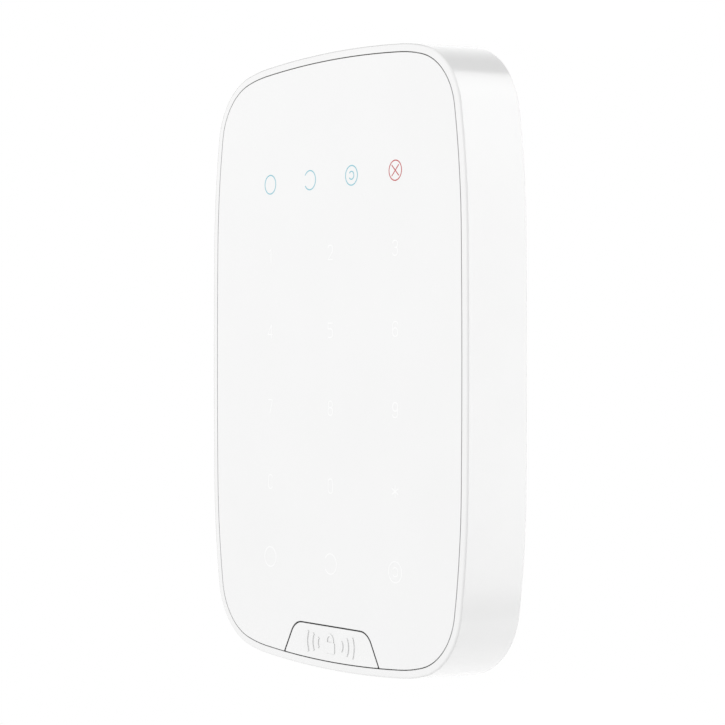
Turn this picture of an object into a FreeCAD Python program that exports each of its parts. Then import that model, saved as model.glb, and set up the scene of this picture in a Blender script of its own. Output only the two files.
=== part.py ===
import FreeCAD, Part
import math
import os

import Sketcher
from FreeCAD import Vector

# Alarm keypad panel for a wall: a shallow housing with a flush touch panel, which slides down onto
# the hooks of a wall bracket. Millimetres. The origin is the centre of the bracket's back face,
# +Z is up and the front faces -Y, so "depth" below means the distance from the wall, along -Y.

SIZES = {
    # Outline of the housing at its rear edge: side, shoulder, corner, crown and end arcs
    "body_width": 103.3,
    "body_height": 150.0,
    "side_radius": 2123.3,
    "shoulder_radius": 204.8,
    "corner_radius": 18.24,
    "crown_radius": 48.5,
    "end_radius": 333.1,
    "side_angle": 0.787,
    "shoulder_span": 7.982,
    "corner_span": 66.489,
    "crown_span": 10.035,
    # Housing
    "body_depth": 17.33,
    "rear_gap": 0.3,
    "draft_angle": 1.76,
    "front_round": 0.55,
    "rear_round": 0.4,
    "opening_inset": 2.43,
    "cavity_inset": 2.3,
    "ledge_inset": 4.6,
    "ledge_thick": 1.2,
    # Front panel, badge and bonding frame
    "panel_thick": 2.0,
    "panel_gap": 0.16,
    "adhesive_thick": 0.3,
    "adhesive_gap": 0.35,
    "badge_thick": 1.15,
    "badge_recess": 1.2,
    "badge_gap": 0.32,
    "badge_top": 63.9,
    "badge_top_half": 14.25,
    "badge_slope": 0.56,
    "badge_corner": 3.8,
    "badge_reach": 78.0,
    # Key field
    "key_pitch_x": 25.2,
    "key_pitch_z": 18.82,
    "key_top": 26.12,
    "icon_pitch": 16.82,
    "icon_height": 44.09,
    # Touch and light stack
    "film_thick": 0.3,
    "film_inset": 5.4,
    "diffuser_thick": 0.4,
    "stack_half": 34.0,
    "stack_top": 67.5,
    "stack_bottom": 61.0,
    "key_well": 6.0,
    "icon_well": 4.0,
    # Main board and its screws
    "board_rear": 11.4,
    "board_thick": 1.0,
    "board_half": 33.5,
    "board_top": 66.0,
    "board_bottom": 60.0,
    "outer_screw_x": 29.5,
    "outer_screw_top": 61.5,
    "outer_screw_bottom": 56.0,
    "post_radius": 2.5,
    "post_clear": 0.4,
    "screw_radius": 0.9,
    "screw_clear": 0.2,
    "screw_head": 1.9,
    "screw_head_height": 1.2,
    "screw_length": 2.4,
    "cross_slot": 0.5,
    "cross_reach": 1.1,
    # Rear cover with the pocket for the bracket
    "cover_rear": 0.4,
    "cover_thick": 1.4,
    "cover_gap": 0.15,
    "pocket_half": 34.0,
    "pocket_top": 58.5,
    "pocket_bottom": 66.5,
    "pocket_wall": 1.2,
    "floor_rear": 2.8,
    "cover_screw_x": 39.4,
    "cover_screw_z": 62.4,
    "cup_radius": 3.4,
    "cup_recess": 2.6,
    "cup_seat": 2.6,
    "cup_depth": 4.0,
    "boss_radius": 3.2,
    "boss_rear": 4.2,
    "boss_rib": 1.2,
    "boss_rib_length": 6.0,
    "cover_screw_radius": 1.2,
    "cover_screw_head": 2.2,
    "cover_screw_head_height": 1.5,
    "cover_screw_length": 9.0,
    "label_half_x": 19.0,
    "label_bottom": 16.0,
    "label_top": 38.0,
    "label_recess": 0.2,
    "label_thick": 0.14,
    # Wall bracket
    "plate_half": 33.5,
    "plate_top": 58.0,
    "plate_thick": 2.4,
    "plate_corner": 3.0,
    "plate_round": 0.5,
    "wall_hole": 2.1,
    "wall_head": 3.9,
    "wall_hole_x": 15.0,
    "wall_hole_z": 50.0,
    "hook_x": 26.0,
    "hook_half": 4.0,
    "hook_upper": 44.0,
    "hook_lower": -32.0,
    "hook_stem": 3.0,
    "hook_lip": 6.5,
    "hook_front": 5.55,
    "hook_rear": 4.35,
    "slot_side_gap": 0.3,
    "slot_top_gap": 0.1,
    "slide_travel": 8.0,
    "slot_spare": 0.2,
    # Break-away tamper tab and its ramp
    "tab_half": 10.0,
    "tab_top": -18.0,
    "tab_bottom": -48.0,
    "tab_slit": 1.2,
    "tab_bridge": 1.0,
    "tab_hole_z": -41.0,
    "ramp_half": 3.0,
    "ramp_start": -30.8,
    "ramp_end": -19.6,
    "ramp_rise": 0.15,
    # Tamper plunger, its spring and its switch
    "plunger_z": -30.0,
    "plunger_radius": 1.5,
    "plunger_tip": 2.418,
    "plunger_round": 1.45,
    "plunger_fit": 0.08,
    "collar_radius": 2.3,
    "collar_rear": 5.6,
    "collar_front": 6.4,
    "guide_fit": 0.1,
    "guide_wall": 0.9,
    "guide_front": 7.2,
    "rod_radius": 0.9,
    "rod_front": 9.1,
    "spring_inner": 1.3,
    "spring_outer": 2.1,
    "spring_play": 0.03,
    "switch_half": 3.0,
    "switch_rear": 9.6,
    "nib_radius": 1.0,
    "nib_rear": 9.2,
    # Power button and its switch
    "button_x": 16.0,
    "button_z": 2.0,
    "button_radius": 3.5,
    "button_gap": 0.15,
    "button_rear": 2.9,
    "flange_radius": 4.6,
    "flange_rear": 4.3,
    "flange_front": 5.1,
    "button_ring_front": 6.0,
    "stem_radius": 1.2,
    "stem_front": 8.2,
    "key_nib_radius": 1.6,
    "key_nib_rear": 8.9,
    # Battery trays, cells and contacts
    "cell_radius": 5.25,
    "cell_length": 44.5,
    "cell_nub": 1.9,
    "cell_nub_height": 1.0,
    "cell_round": 0.5,
    "cell_x": 41.35,
    "tray_floor": 0.8,
    "cell_gap": 0.1,
    "tray_wall": 0.6,
    "tray_side_front": 7.9,
    "tray_end_front": 12.4,
    "bay_length": 48.5,
    "bay_divider": 1.0,
    "tray_play": 0.1,
    "contact_half": 4.2,
    "contact_rear": 2.7,
    "contact_front": 11.8,
    "contact_thick": 0.4,
    "coil_base": 3.2,
    "coil_taper": 24.0,
    "coil_length": 2.9,
    "tail_width": 2.0,
    "tail_length": 3.3,
    # Parts on the board
    "led_half": 0.8,
    "led_height": 0.6,
    "sounder_radius": 8.5,
    "sounder_z": -47.0,
    "sounder_height": 4.0,
    "sounder_port": 1.0,
    "shield_x": -12.0,
    "shield_z": 47.0,
    "shield_half_x": 7.0,
    "shield_half_z": 6.0,
    "shield_height": 2.2,
    "chip_x": -14.0,
    "chip_z": 30.0,
    "chip_half": 4.0,
    "chip_height": 1.2,
    "pin_reach": 0.8,
    "pin_half": 0.12,
    "pin_pitch": 0.65,
    "pin_height": 0.3,
    "capacitor_x": 21.0,
    "capacitor_z": 50.0,
    "capacitor_radius": 3.15,
    "capacitor_height": 5.4,
    "antenna_half": 19.0,
    "antenna_z": 61.0,
    "antenna_half_z": 1.6,
    "antenna_rear": 7.9,
    "antenna_sheet": 0.4,
    "antenna_leg": 1.2,
    "antenna_feed": 9.0,
    "connector_x": 24.0,
    "connector_z": 30.0,
    "connector_half_x": 3.0,
    "connector_half_z": 8.0,
    "connector_height": 1.6,
    "small_half": 0.8,
    "small_height": 0.6,
    "small_pitch": 3.4,
    "small_left_x": -23.0,
    "small_left_z": 18.0,
    "small_top_x": 5.0,
    "small_top_z": 47.0,
}

doc = FreeCAD.newDocument("alarm_keypad_panel")
sheet = doc.addObject("Spreadsheet::Sheet", "Params")
for row, (alias, number) in enumerate(SIZES.items(), start=1):
    sheet.set(f"A{row}", alias)
    sheet.set(f"B{row}", str(number))
    sheet.setAlias(f"B{row}", alias)
doc.recompute()


class Size:
    """A number together with the sheet expression that it comes from."""

    def __init__(self, value, text):
        self.value = value
        self.text = text

    @staticmethod
    def of(item):
        return item if isinstance(item, Size) else Size(float(item), f"({item})")

    def join(self, other, sign, value):
        return Size(value, f"({self.text} {sign} {Size.of(other).text})")

    def __add__(self, other):
        return self.join(other, "+", self.value + Size.of(other).value)

    def __sub__(self, other):
        return self.join(other, "-", self.value - Size.of(other).value)

    def __mul__(self, other):
        return self.join(other, "*", self.value * Size.of(other).value)

    def __truediv__(self, other):
        return self.join(other, "/", self.value / Size.of(other).value)

    def __neg__(self):
        return self * -1


class Cells:
    """Gives each cell of the sheet as a Size, by its alias."""

    def __getattr__(self, alias):
        return Size(float(sheet.get(alias)), f"Params.{alias}")


P = Cells()


# ---- Sketch shapes: each returns a function that draws into a sketch ----

def bind(item, path, size):
    item.setExpression(path, Size.of(size).text)


def at_point(curve, point, u, v):
    """The two dimensions that hold a point of a curve at (u, v)."""
    return [("DistanceX", (-1, 1, curve, point), u), ("DistanceY", (-1, 1, curve, point), v)]


def constrain(sketch, relations, dimensions):
    """Adds relations such as Tangent, then driving dimensions bound to the sheet."""
    rules = [Sketcher.Constraint(kind, *geometry) for kind, geometry in relations]
    rules += [Sketcher.Constraint(kind, *geometry, Size.of(size).value)
              for kind, geometry, size in dimensions]
    indexes = sketch.addConstraint(rules)
    for index, (kind, geometry, size) in zip(indexes[len(relations):], dimensions):
        bind(sketch, f"Constraints[{index}]", size)


def disc(u, v, radius):
    def draw(sketch):
        centre = Vector(Size.of(u).value, Size.of(v).value, 0)
        circle = Part.Circle(centre, Vector(0, 0, 1), Size.of(radius).value)
        curve = sketch.addGeometry(circle, False)
        constrain(sketch, [], at_point(curve, 3, u, v) + [("Radius", (curve,), radius)])
    return draw


def polygon(*corners):
    def draw(sketch):
        points = [Vector(Size.of(u).value, Size.of(v).value, 0) for u, v in corners]
        first = sketch.GeometryCount
        for start, end in zip(points, points[1:] + points[:1]):
            sketch.addGeometry(Part.LineSegment(start, end), False)
        relations = []
        dimensions = []
        for index, (u, v) in enumerate(corners):
            after = first + index
            before = first + (index - 1) % len(corners)
            relations.append(("Coincident", (before, 2, after, 1)))
            dimensions += at_point(after, 1, u, v)
        constrain(sketch, relations, dimensions)
    return draw


def rectangle(u0, u1, v0, v1):
    return polygon((u0, v0), (u1, v0), (u1, v1), (u0, v1))


def box_at(u, v, half_u, half_v):
    u, v = Size.of(u), Size.of(v)
    return rectangle(u - half_u, u + half_u, v - half_v, v + half_v)


def outline(inset):
    """The housing's outline of sixteen tangent arcs, moved inwards by inset."""
    inset = Size.of(inset)
    half_width = P.body_width / 2
    half_height = P.body_height / 2
    radii = [P.side_radius, P.shoulder_radius, P.corner_radius, P.crown_radius, P.end_radius]
    spans = [P.side_angle, P.shoulder_span, P.corner_span, P.crown_span]
    turns = [0.0]
    for span in spans:
        turns.append(turns[-1] + span.value)
    turns = [math.radians(turn) for turn in turns]

    # Centres of the first quarter's arcs, each a step along the normal where two arcs meet
    u = half_width.value - P.side_radius.value
    v = 0.0
    quarter = []
    for index in (1, 2, 3):
        step = radii[index - 1].value - radii[index].value
        u += step * math.cos(turns[index])
        v += step * math.sin(turns[index])
        quarter.append((index, u, v, turns[index], turns[index + 1]))
    side_u = half_width.value - P.side_radius.value
    end_v = half_height.value - P.end_radius.value
    right = [(0, side_u, 0.0, -turns[1], turns[1])]
    left = [(0, -side_u, 0.0, math.pi - turns[1], math.pi + turns[1])]
    top = [(4, 0.0, end_v, turns[4], math.pi - turns[4])]
    bottom = [(4, 0.0, -end_v, math.pi + turns[4], 2 * math.pi - turns[4])]
    across = [(i, -u, v, math.pi - b, math.pi - a) for i, u, v, a, b in reversed(quarter)]
    opposite = [(i, -u, -v, math.pi + a, math.pi + b) for i, u, v, a, b in quarter]
    below = [(i, u, -v, -b, -a) for i, u, v, a, b in reversed(quarter)]
    arcs = right + quarter + top + across + left + opposite + bottom + below

    def draw(sketch):
        first = sketch.GeometryCount
        relations = []
        dimensions = []
        for step, (index, u, v, start, end) in enumerate(arcs):
            radius = radii[index] - inset
            circle = Part.Circle(Vector(u, v, 0), Vector(0, 0, 1), radius.value)
            sketch.addGeometry(Part.ArcOfCircle(circle, start, end), False)
            after = first + (step + 1) % len(arcs)
            relations.append(("Tangent", (first + step, 2, after, 1)))
            dimensions.append(("Radius", (first + step,), radius))
        for side, sign in ((0, 1), (8, -1)):
            dimensions += at_point(first + side, 3, (half_width - P.side_radius) * sign, 0)
        for end, sign in ((4, 1), (12, -1)):
            dimensions += at_point(first + end, 3, 0, (half_height - P.end_radius) * sign)
        constrain(sketch, relations, dimensions)
    return draw


def badge_outline(growth):
    """A trapezoid with rounded top corners that runs out past the bottom of the panel."""
    top = -P.badge_top + growth
    half_top = P.badge_top_half + growth
    half_foot = half_top + (P.badge_reach - P.badge_top) * P.badge_slope
    foot = -P.badge_reach
    radius = P.badge_corner + growth
    slant = math.atan(P.badge_slope.value)

    def draw(sketch):
        # Distance from each top corner to where its rounding starts
        setback = radius.value * math.tan((math.pi / 2 - slant) / 2)
        corner = Vector(half_top.value, top.value, 0)
        high = corner - Vector(setback, 0, 0)
        low = corner + Vector(math.sin(slant), -math.cos(slant), 0) * setback
        centre = high - Vector(0, radius.value, 0)
        foot_point = Vector(half_foot.value, foot.value, 0)

        def mirrored(point):
            return Vector(-point.x, point.y, 0)

        def corner_arc(middle, start, end):
            return Part.ArcOfCircle(Part.Circle(middle, Vector(0, 0, 1), radius.value), start, end)

        first = sketch.GeometryCount
        sketch.addGeometry([
            Part.LineSegment(mirrored(foot_point), foot_point),
            Part.LineSegment(foot_point, low),
            corner_arc(centre, slant, math.pi / 2),
            Part.LineSegment(high, mirrored(high)),
            corner_arc(mirrored(centre), math.pi / 2, math.pi - slant),
            Part.LineSegment(mirrored(low), mirrored(foot_point)),
        ], False)
        relations = [("Coincident", (first, 2, first + 1, 1)),
                     ("Coincident", (first + 5, 2, first, 1))]
        relations += [("Tangent", (first + i, 2, first + i + 1, 1)) for i in range(1, 5)]
        relations.append(("Horizontal", (first + 3,)))
        dimensions = at_point(first, 1, -half_foot, foot) + at_point(first, 2, half_foot, foot)
        dimensions += [("Radius", (first + 2,), radius), ("Radius", (first + 4,), radius)]
        dimensions.append(("DistanceY", (-1, 1, first + 3, 1), top))
        constrain(sketch, relations, dimensions)
    return draw


# ---- Features ----

def new_body(name):
    """A sub-part: its Label is the name of its file and node."""
    body = doc.addObject("PartDesign::Body", name)
    body.Label = name
    return body


def new_sketch(body, name, plane, offset, shapes):
    sketch = body.newObject("Sketcher::SketchObject", f"{body.Name}_{name}_sketch")
    support = next(item for item in body.Origin.OriginFeatures if item.Role == plane)
    sketch.AttachmentSupport = (support, [""])
    sketch.MapMode = "FlatFace"
    bind(sketch, "AttachmentOffset.Base.z", offset)
    for draw in shapes:
        draw(sketch)
    doc.recompute()
    return sketch


def add(body, name, start, end, *shapes, taper=None, plane="XZ_Plane"):
    """Pads shapes from one depth to a greater one; a positive taper narrows them on the way."""
    sketch = new_sketch(body, name, plane, start, shapes)
    pad = body.newObject("PartDesign::Pad", f"{body.Name}_{name}")
    pad.Profile = sketch
    bind(pad, "Length", Size.of(end) - start)
    if taper is not None:
        bind(pad, "TaperAngle", -taper)
    doc.recompute()
    return pad


def cut(body, name, start, end, *shapes, taper=None, plane="XZ_Plane"):
    """Pockets shapes from one depth to another, in either direction, and checks that it cuts."""
    before = body.Shape.Volume
    start, end = Size.of(start), Size.of(end)
    forward = end.value > start.value
    sketch = new_sketch(body, name, plane, start, shapes)
    pocket = body.newObject("PartDesign::Pocket", f"{body.Name}_{name}")
    pocket.Profile = sketch
    pocket.Reversed = forward
    bind(pocket, "Length", end - start if forward else start - end)
    if taper is not None:
        bind(pocket, "TaperAngle", -taper)
    doc.recompute()
    if body.Shape.Volume > before - 1e-3:
        raise RuntimeError(f"{body.Label}: {name} cuts nothing")
    return pocket


def edge_depths(edge):
    box = edge.BoundBox
    return -box.YMax, -box.YMin


def finish_edges(body, name, kind, size, choose):
    """Fillets or chamfers the edges of the body's tip that choose accepts."""
    base = body.Tip
    names = [f"Edge{i}" for i, edge in enumerate(base.Shape.Edges, start=1) if choose(edge)]
    if not names:
        raise RuntimeError(f"{body.Label}: {name} finds no edge")
    feature = body.newObject(f"PartDesign::{kind}", f"{body.Name}_{name}")
    feature.Base = (base, names)
    bind(feature, "Radius" if kind == "Fillet" else "Size", size)
    doc.recompute()


def at_depth(depth):
    """Chooses the edges that lie in the plane at this depth."""
    depth = Size.of(depth).value

    def choose(edge):
        near, far = edge_depths(edge)
        return abs(near - depth) < 1e-4 and abs(far - depth) < 1e-4
    return choose


def along_depth(edge):
    """Chooses straight edges that run front to back."""
    box = edge.BoundBox
    return box.XLength < 1e-4 and box.ZLength < 1e-4


def place(body, x, depth, z, half_turn=False):
    """Moves a sub-part that is drawn at the origin to its own place."""
    bind(body, "Placement.Base.x", x)
    bind(body, "Placement.Base.y", -Size.of(depth))
    bind(body, "Placement.Base.z", z)
    if half_turn:
        body.Placement.Rotation = FreeCAD.Rotation(Vector(0, 1, 0), 180)


def mirrored_pairs(x, z):
    """The four points (x, z), (-x, z), (x, -z) and (-x, -z)."""
    return [(x * sx, z * sz) for sx in (1, -1) for sz in (1, -1)]


# ---- Depths and places that several sub-parts share ----

panel_rear = P.body_depth - P.panel_thick
ledge_front = panel_rear - P.adhesive_thick
ledge_rear = ledge_front - P.ledge_thick
film_rear = panel_rear - P.film_thick
diffuser_rear = film_rear - P.diffuser_thick
board_front = P.board_rear + P.board_thick
floor_front = P.floor_rear + P.cover_thick
cover_front = P.cover_rear + P.cover_thick
cell_depth = cover_front + P.tray_floor + P.cell_gap + P.cell_radius

key_points = [(P.key_pitch_x * column, P.key_top - P.key_pitch_z * line)
              for line in range(5) for column in (-1, 0, 1)]
icon_points = [(P.icon_pitch * step, P.icon_height) for step in (-1.5, -0.5, 0.5, 1.5)]
board_screw_points = [(P.key_pitch_x * side / 2, P.key_top - P.key_pitch_z * line)
                      for side in (-1, 1) for line in (0.5, 2.5)]
board_screw_points += [(P.outer_screw_x * side, height)
                       for side in (-1, 1)
                       for height in (P.outer_screw_top, -P.outer_screw_bottom)]
cover_screw_points = mirrored_pairs(P.cover_screw_x, P.cover_screw_z)
hook_points = [(P.hook_x * side, height)
               for side in (-1, 1) for height in (P.hook_upper, P.hook_lower)]


# ---- Wall bracket ----

def make_mounting_bracket():
    body = new_body("mounting_bracket")
    plate = P.plate_thick
    add(body, "plate", 0, plate, box_at(0, 0, P.plate_half, P.plate_top))
    finish_edges(body, "corners", "Fillet", P.plate_corner, along_depth)
    finish_edges(body, "rim", "Chamfer", P.plate_round, at_depth(plate))
    holes = mirrored_pairs(P.wall_hole_x, P.wall_hole_z)
    holes.append((Size.of(0), P.tab_hole_z))
    cut(body, "wall_holes", 0, plate, *(disc(x, z, P.wall_hole) for x, z in holes))
    cut(body, "countersinks", plate, plate - P.wall_head + P.wall_hole,
        *(disc(x, z, P.wall_head) for x, z in holes), taper=Size.of(45))
    # Slits round the tamper tab leave a bridge at each corner that breaks if the plate is pried off
    half, top, bottom = P.tab_half, P.tab_top, P.tab_bottom
    slit, bridge = P.tab_slit, P.tab_bridge
    cut(body, "tab_slits", 0, plate,
        rectangle(half, half + slit, bottom + bridge, top - bridge),
        rectangle(-half - slit, -half, bottom + bridge, top - bridge),
        rectangle(-half + bridge, half - bridge, top, top + slit),
        rectangle(-half + bridge, half - bridge, bottom - slit, bottom))
    # The plunger's tip follows this ramp into the plate as the keypad slides up
    rise = (P.ramp_end - P.ramp_start) * P.ramp_rise
    cut(body, "ramp", -P.ramp_half, P.ramp_half,
        polygon((-plate - 1, P.ramp_start), (-plate, P.ramp_start),
                (-plate + rise, P.ramp_end), (-plate - 1, P.ramp_end)),
        plane="YZ_Plane")
    add(body, "hook_stems", plate - 0.2, P.hook_front,
        *(rectangle(x - P.hook_half, x + P.hook_half, z - P.hook_stem, z)
          for x, z in hook_points))
    add(body, "hook_lips", P.hook_rear, P.hook_front,
        *(rectangle(x - P.hook_half, x + P.hook_half, z - 1, z + P.hook_lip)
          for x, z in hook_points))


# ---- Casing ----

def make_housing():
    body = new_body("housing")
    add(body, "shell", P.rear_gap, P.body_depth, outline(0), taper=P.draft_angle)
    finish_edges(body, "front_round", "Fillet", P.front_round, at_depth(P.body_depth))
    finish_edges(body, "rear_round", "Fillet", P.rear_round, at_depth(P.rear_gap))
    cut(body, "panel_opening", P.body_depth, ledge_front, outline(P.opening_inset))
    cut(body, "ledge_window", ledge_front, ledge_rear, outline(P.ledge_inset))
    cut(body, "cavity", P.rear_gap, ledge_rear, outline(P.cavity_inset))
    add(body, "bosses", P.boss_rear, ledge_front,
        *(disc(x, z, P.boss_radius) for x, z in cover_screw_points))
    # A rib ties each boss to the wall, square to the corner
    reach = P.boss_rib_length / math.sqrt(2)
    half = P.boss_rib / 2 / math.sqrt(2)
    ribs = []
    for x, z in cover_screw_points:
        out = 1 if x.value > 0 else -1
        up = 1 if z.value > 0 else -1
        ribs.append(polygon((x + half * out, z - half * up), (x - half * out, z + half * up),
                            (x + (reach - half) * out, z + (reach + half) * up),
                            (x + (reach + half) * out, z + (reach - half) * up)))
    add(body, "boss_ribs", P.boss_rear + 1, ledge_rear, *ribs)
    cut(body, "pilot_holes", P.boss_rear, P.boss_rear + P.cover_screw_length,
        *(disc(x, z, P.cover_screw_radius) for x, z in cover_screw_points))


def make_touch_panel():
    body = new_body("touch_panel")
    inset = P.opening_inset + P.panel_gap
    add(body, "plate", panel_rear, P.body_depth, outline(inset))
    cut(body, "badge_recess", P.body_depth, P.body_depth - P.badge_recess,
        badge_outline(P.badge_gap))
    add(body, "posts", board_front, panel_rear,
        *(disc(x, z, P.post_radius) for x, z in board_screw_points))
    cut(body, "pilot_holes", board_front, board_front + P.screw_length,
        *(disc(x, z, P.screw_radius) for x, z in board_screw_points))


def make_panel_adhesive_ring():
    body = new_body("panel_adhesive_ring")
    add(body, "frame", ledge_front, panel_rear, outline(P.opening_inset + P.adhesive_gap))
    cut(body, "window", ledge_front, panel_rear, outline(P.ledge_inset))


def make_badge_plate():
    body = new_body("badge_plate")
    start = P.body_depth - P.badge_thick
    add(body, "plate", start, P.body_depth, outline(P.opening_inset + P.panel_gap))
    margin = P.body_height
    cut(body, "sides", start, P.body_depth, box_at(0, 0, margin, margin), badge_outline(0))


def make_rear_cover():
    body = new_body("rear_cover")
    wall = P.pocket_wall
    add(body, "plate", P.cover_rear, cover_front, outline(P.cavity_inset + P.cover_gap))
    add(body, "pocket_block", P.cover_rear, floor_front,
        rectangle(-P.pocket_half - wall, P.pocket_half + wall,
                  -P.pocket_bottom - wall, P.pocket_top + wall))
    cut(body, "pocket", P.cover_rear, P.floor_rear,
        rectangle(-P.pocket_half, P.pocket_half, -P.pocket_bottom, P.pocket_top))
    add(body, "screw_cups", P.cover_rear, P.cup_depth,
        *(disc(x, z, P.cup_radius) for x, z in cover_screw_points))
    cut(body, "cup_recesses", P.cover_rear, P.cup_seat,
        *(disc(x, z, P.cup_recess) for x, z in cover_screw_points))
    clear = P.cover_screw_radius + P.screw_clear
    cut(body, "cup_holes", P.cup_seat, P.cup_depth,
        *(disc(x, z, clear) for x, z in cover_screw_points))
    # Each slot is long enough for its hook to leave it once the keypad is lifted
    half = P.hook_half + P.slot_side_gap
    drop = P.hook_stem + P.slide_travel + P.slot_spare
    cut(body, "hook_slots", P.floor_rear, floor_front,
        *(rectangle(x - half, x + half, z - drop, z + P.slot_top_gap) for x, z in hook_points))
    # Guide tubes for the plunger and the power button
    plunger_bore = P.collar_radius + P.guide_fit
    button_bore = P.flange_radius + P.button_gap
    add(body, "plunger_guide", floor_front, P.guide_front,
        disc(0, P.plunger_z, plunger_bore + P.guide_wall))
    cut(body, "plunger_bore", floor_front, P.guide_front, disc(0, P.plunger_z, plunger_bore))
    add(body, "button_guide", floor_front, P.button_ring_front,
        disc(P.button_x, P.button_z, button_bore + P.guide_wall))
    cut(body, "button_bore", floor_front, P.button_ring_front,
        disc(P.button_x, P.button_z, button_bore))
    cut(body, "floor_holes", P.floor_rear, floor_front,
        disc(0, P.plunger_z, P.plunger_radius + P.plunger_fit),
        disc(P.button_x, P.button_z, P.button_radius + P.button_gap))
    cut(body, "label_recess", P.floor_rear, P.floor_rear + P.label_recess,
        rectangle(-P.label_half_x - 0.3, P.label_half_x + 0.3,
                  P.label_bottom - 0.3, P.label_top + 0.3))


def make_rating_label():
    body = new_body("rating_label")
    front = P.floor_rear + P.label_recess
    add(body, "sheet", front - P.label_thick, front,
        rectangle(-P.label_half_x, P.label_half_x, P.label_bottom, P.label_top))


def make_screws(name, points, seat, head, head_height, shank, length):
    """Cross-head screws driven from behind: the head ends at the seat, the shank runs forwards."""
    body = new_body(name)
    top = seat - head_height
    add(body, "heads", top, seat, *(disc(x, z, head) for x, z in points))
    finish_edges(body, "head_round", "Fillet", head_height / 3, at_depth(top))
    add(body, "shanks", seat, seat + length, *(disc(x, z, shank) for x, z in points))
    half, reach = P.cross_slot / 2, P.cross_reach
    for part, half_x, half_z in (("across", reach, half), ("upright", half, reach)):
        cut(body, f"drive_{part}", top, top + head_height / 2,
            *(box_at(x, z, half_x, half_z) for x, z in points))


# ---- Touch and light stack ----

def make_touch_sensor_film():
    body = new_body("touch_sensor_film")
    add(body, "film", film_rear, panel_rear, outline(P.film_inset))
    cut(body, "post_holes", film_rear, panel_rear,
        *(disc(x, z, P.post_radius + P.post_clear) for x, z in board_screw_points))


def stack_sheet(name, rear, front):
    """A sheet of the light stack, with clearance round the panel's screw posts."""
    body = new_body(name)
    add(body, "sheet", rear, front,
        rectangle(-P.stack_half, P.stack_half, -P.stack_bottom, P.stack_top))
    cut(body, "post_holes", rear, front,
        *(disc(x, z, P.post_radius + P.post_clear) for x, z in board_screw_points))
    return body


def make_light_baffle():
    body = stack_sheet("light_baffle", board_front, diffuser_rear)
    wells = [disc(x, z, P.key_well) for x, z in key_points]
    wells += [disc(x, z, P.icon_well) for x, z in icon_points]
    cut(body, "wells", board_front, diffuser_rear, *wells)


def make_leds(name, points):
    body = new_body(name)
    add(body, "cases", board_front, board_front + P.led_height,
        *(box_at(x, z, P.led_half, P.led_half) for x, z in points))


# ---- Board and what it carries ----

def make_main_board():
    body = new_body("main_board")
    add(body, "laminate", P.board_rear, board_front,
        rectangle(-P.board_half, P.board_half, -P.board_bottom, P.board_top))
    clear = P.screw_radius + P.screw_clear
    cut(body, "screw_holes", P.board_rear, board_front,
        *(disc(x, z, clear) for x, z in board_screw_points))


def make_film_connector():
    body = new_body("film_connector")
    rear = P.board_rear - P.connector_height
    half_x, half_z = P.connector_half_x, P.connector_half_z
    add(body, "case", rear, P.board_rear, box_at(P.connector_x, P.connector_z, half_x, half_z))
    cut(body, "mouth", rear + 0.4, P.board_rear - 0.4,
        rectangle(P.connector_x, P.connector_x + half_x,
                  P.connector_z - half_z + 0.8, P.connector_z + half_z - 0.8))


def make_controller_chip():
    body = new_body("controller_chip")
    x, z, half = P.chip_x, P.chip_z, P.chip_half
    rear = P.board_rear - P.chip_height
    add(body, "case", rear, P.board_rear, box_at(x, z, half, half))
    finish_edges(body, "case_edge", "Chamfer", 0.2, at_depth(rear))
    pins = []
    for step in range(-4, 5):
        shift = P.pin_pitch * step
        pins.append(box_at(x + shift, z, P.pin_half, half + P.pin_reach))
    add(body, "pins_upright", P.board_rear - P.pin_height, P.board_rear, *pins)
    pins = []
    for step in range(-4, 5):
        shift = P.pin_pitch * step
        pins.append(box_at(x, z + shift, half + P.pin_reach, P.pin_half))
    add(body, "pins_across", P.board_rear - P.pin_height, P.board_rear, *pins)


def make_radio_shield():
    body = new_body("radio_shield")
    x, z = P.shield_x, P.shield_z
    rear = P.board_rear - P.shield_height
    sheet_metal = 0.25
    add(body, "can", rear, P.board_rear, box_at(x, z, P.shield_half_x, P.shield_half_z))
    finish_edges(body, "can_edge", "Fillet", 0.3, at_depth(rear))
    cut(body, "inside", P.board_rear, rear + sheet_metal,
        box_at(x, z, P.shield_half_x - sheet_metal, P.shield_half_z - sheet_metal))


def make_sounder():
    body = new_body("sounder")
    rear = P.board_rear - P.sounder_height
    add(body, "case", rear, P.board_rear, disc(0, P.sounder_z, P.sounder_radius))
    finish_edges(body, "case_edge", "Fillet", 0.5, at_depth(rear))
    cut(body, "port", rear, rear + 1, disc(0, P.sounder_z, P.sounder_port))


def make_reservoir_capacitor():
    body = new_body("reservoir_capacitor")
    x, z = P.capacitor_x, P.capacitor_z
    rear = P.board_rear - P.capacitor_height
    add(body, "can", rear, P.board_rear, disc(x, z, P.capacitor_radius))
    finish_edges(body, "can_edge", "Fillet", 0.5, at_depth(rear))
    add(body, "base", P.board_rear - 0.8, P.board_rear,
        box_at(x, z, P.capacitor_radius, P.capacitor_radius))


def make_antenna():
    body = new_body("antenna")
    half, rise, foot = P.antenna_half, P.antenna_half_z, P.antenna_leg / 2
    front = P.antenna_rear + P.antenna_sheet
    add(body, "arm", P.antenna_rear, front, box_at(0, P.antenna_z, half, rise))
    add(body, "legs", P.antenna_rear, P.board_rear,
        *(box_at(x, P.antenna_z - rise + P.antenna_sheet / 2, foot, P.antenna_sheet / 2)
          for x in (-half + foot, -half + P.antenna_feed)))


def make_small_components():
    body = new_body("small_components")
    half, pitch = P.small_half, P.small_pitch
    cases = [box_at(P.small_left_x + pitch * column, P.small_left_z - pitch * line, half, half / 2)
             for column in range(-2, 3) for line in range(2)]
    cases += [box_at(P.small_top_x + pitch * column, P.small_top_z + pitch * line, half / 2, half)
              for column in range(-1, 2) for line in range(-1, 2)]
    add(body, "cases", P.board_rear - P.small_height, P.board_rear, *cases)


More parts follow.
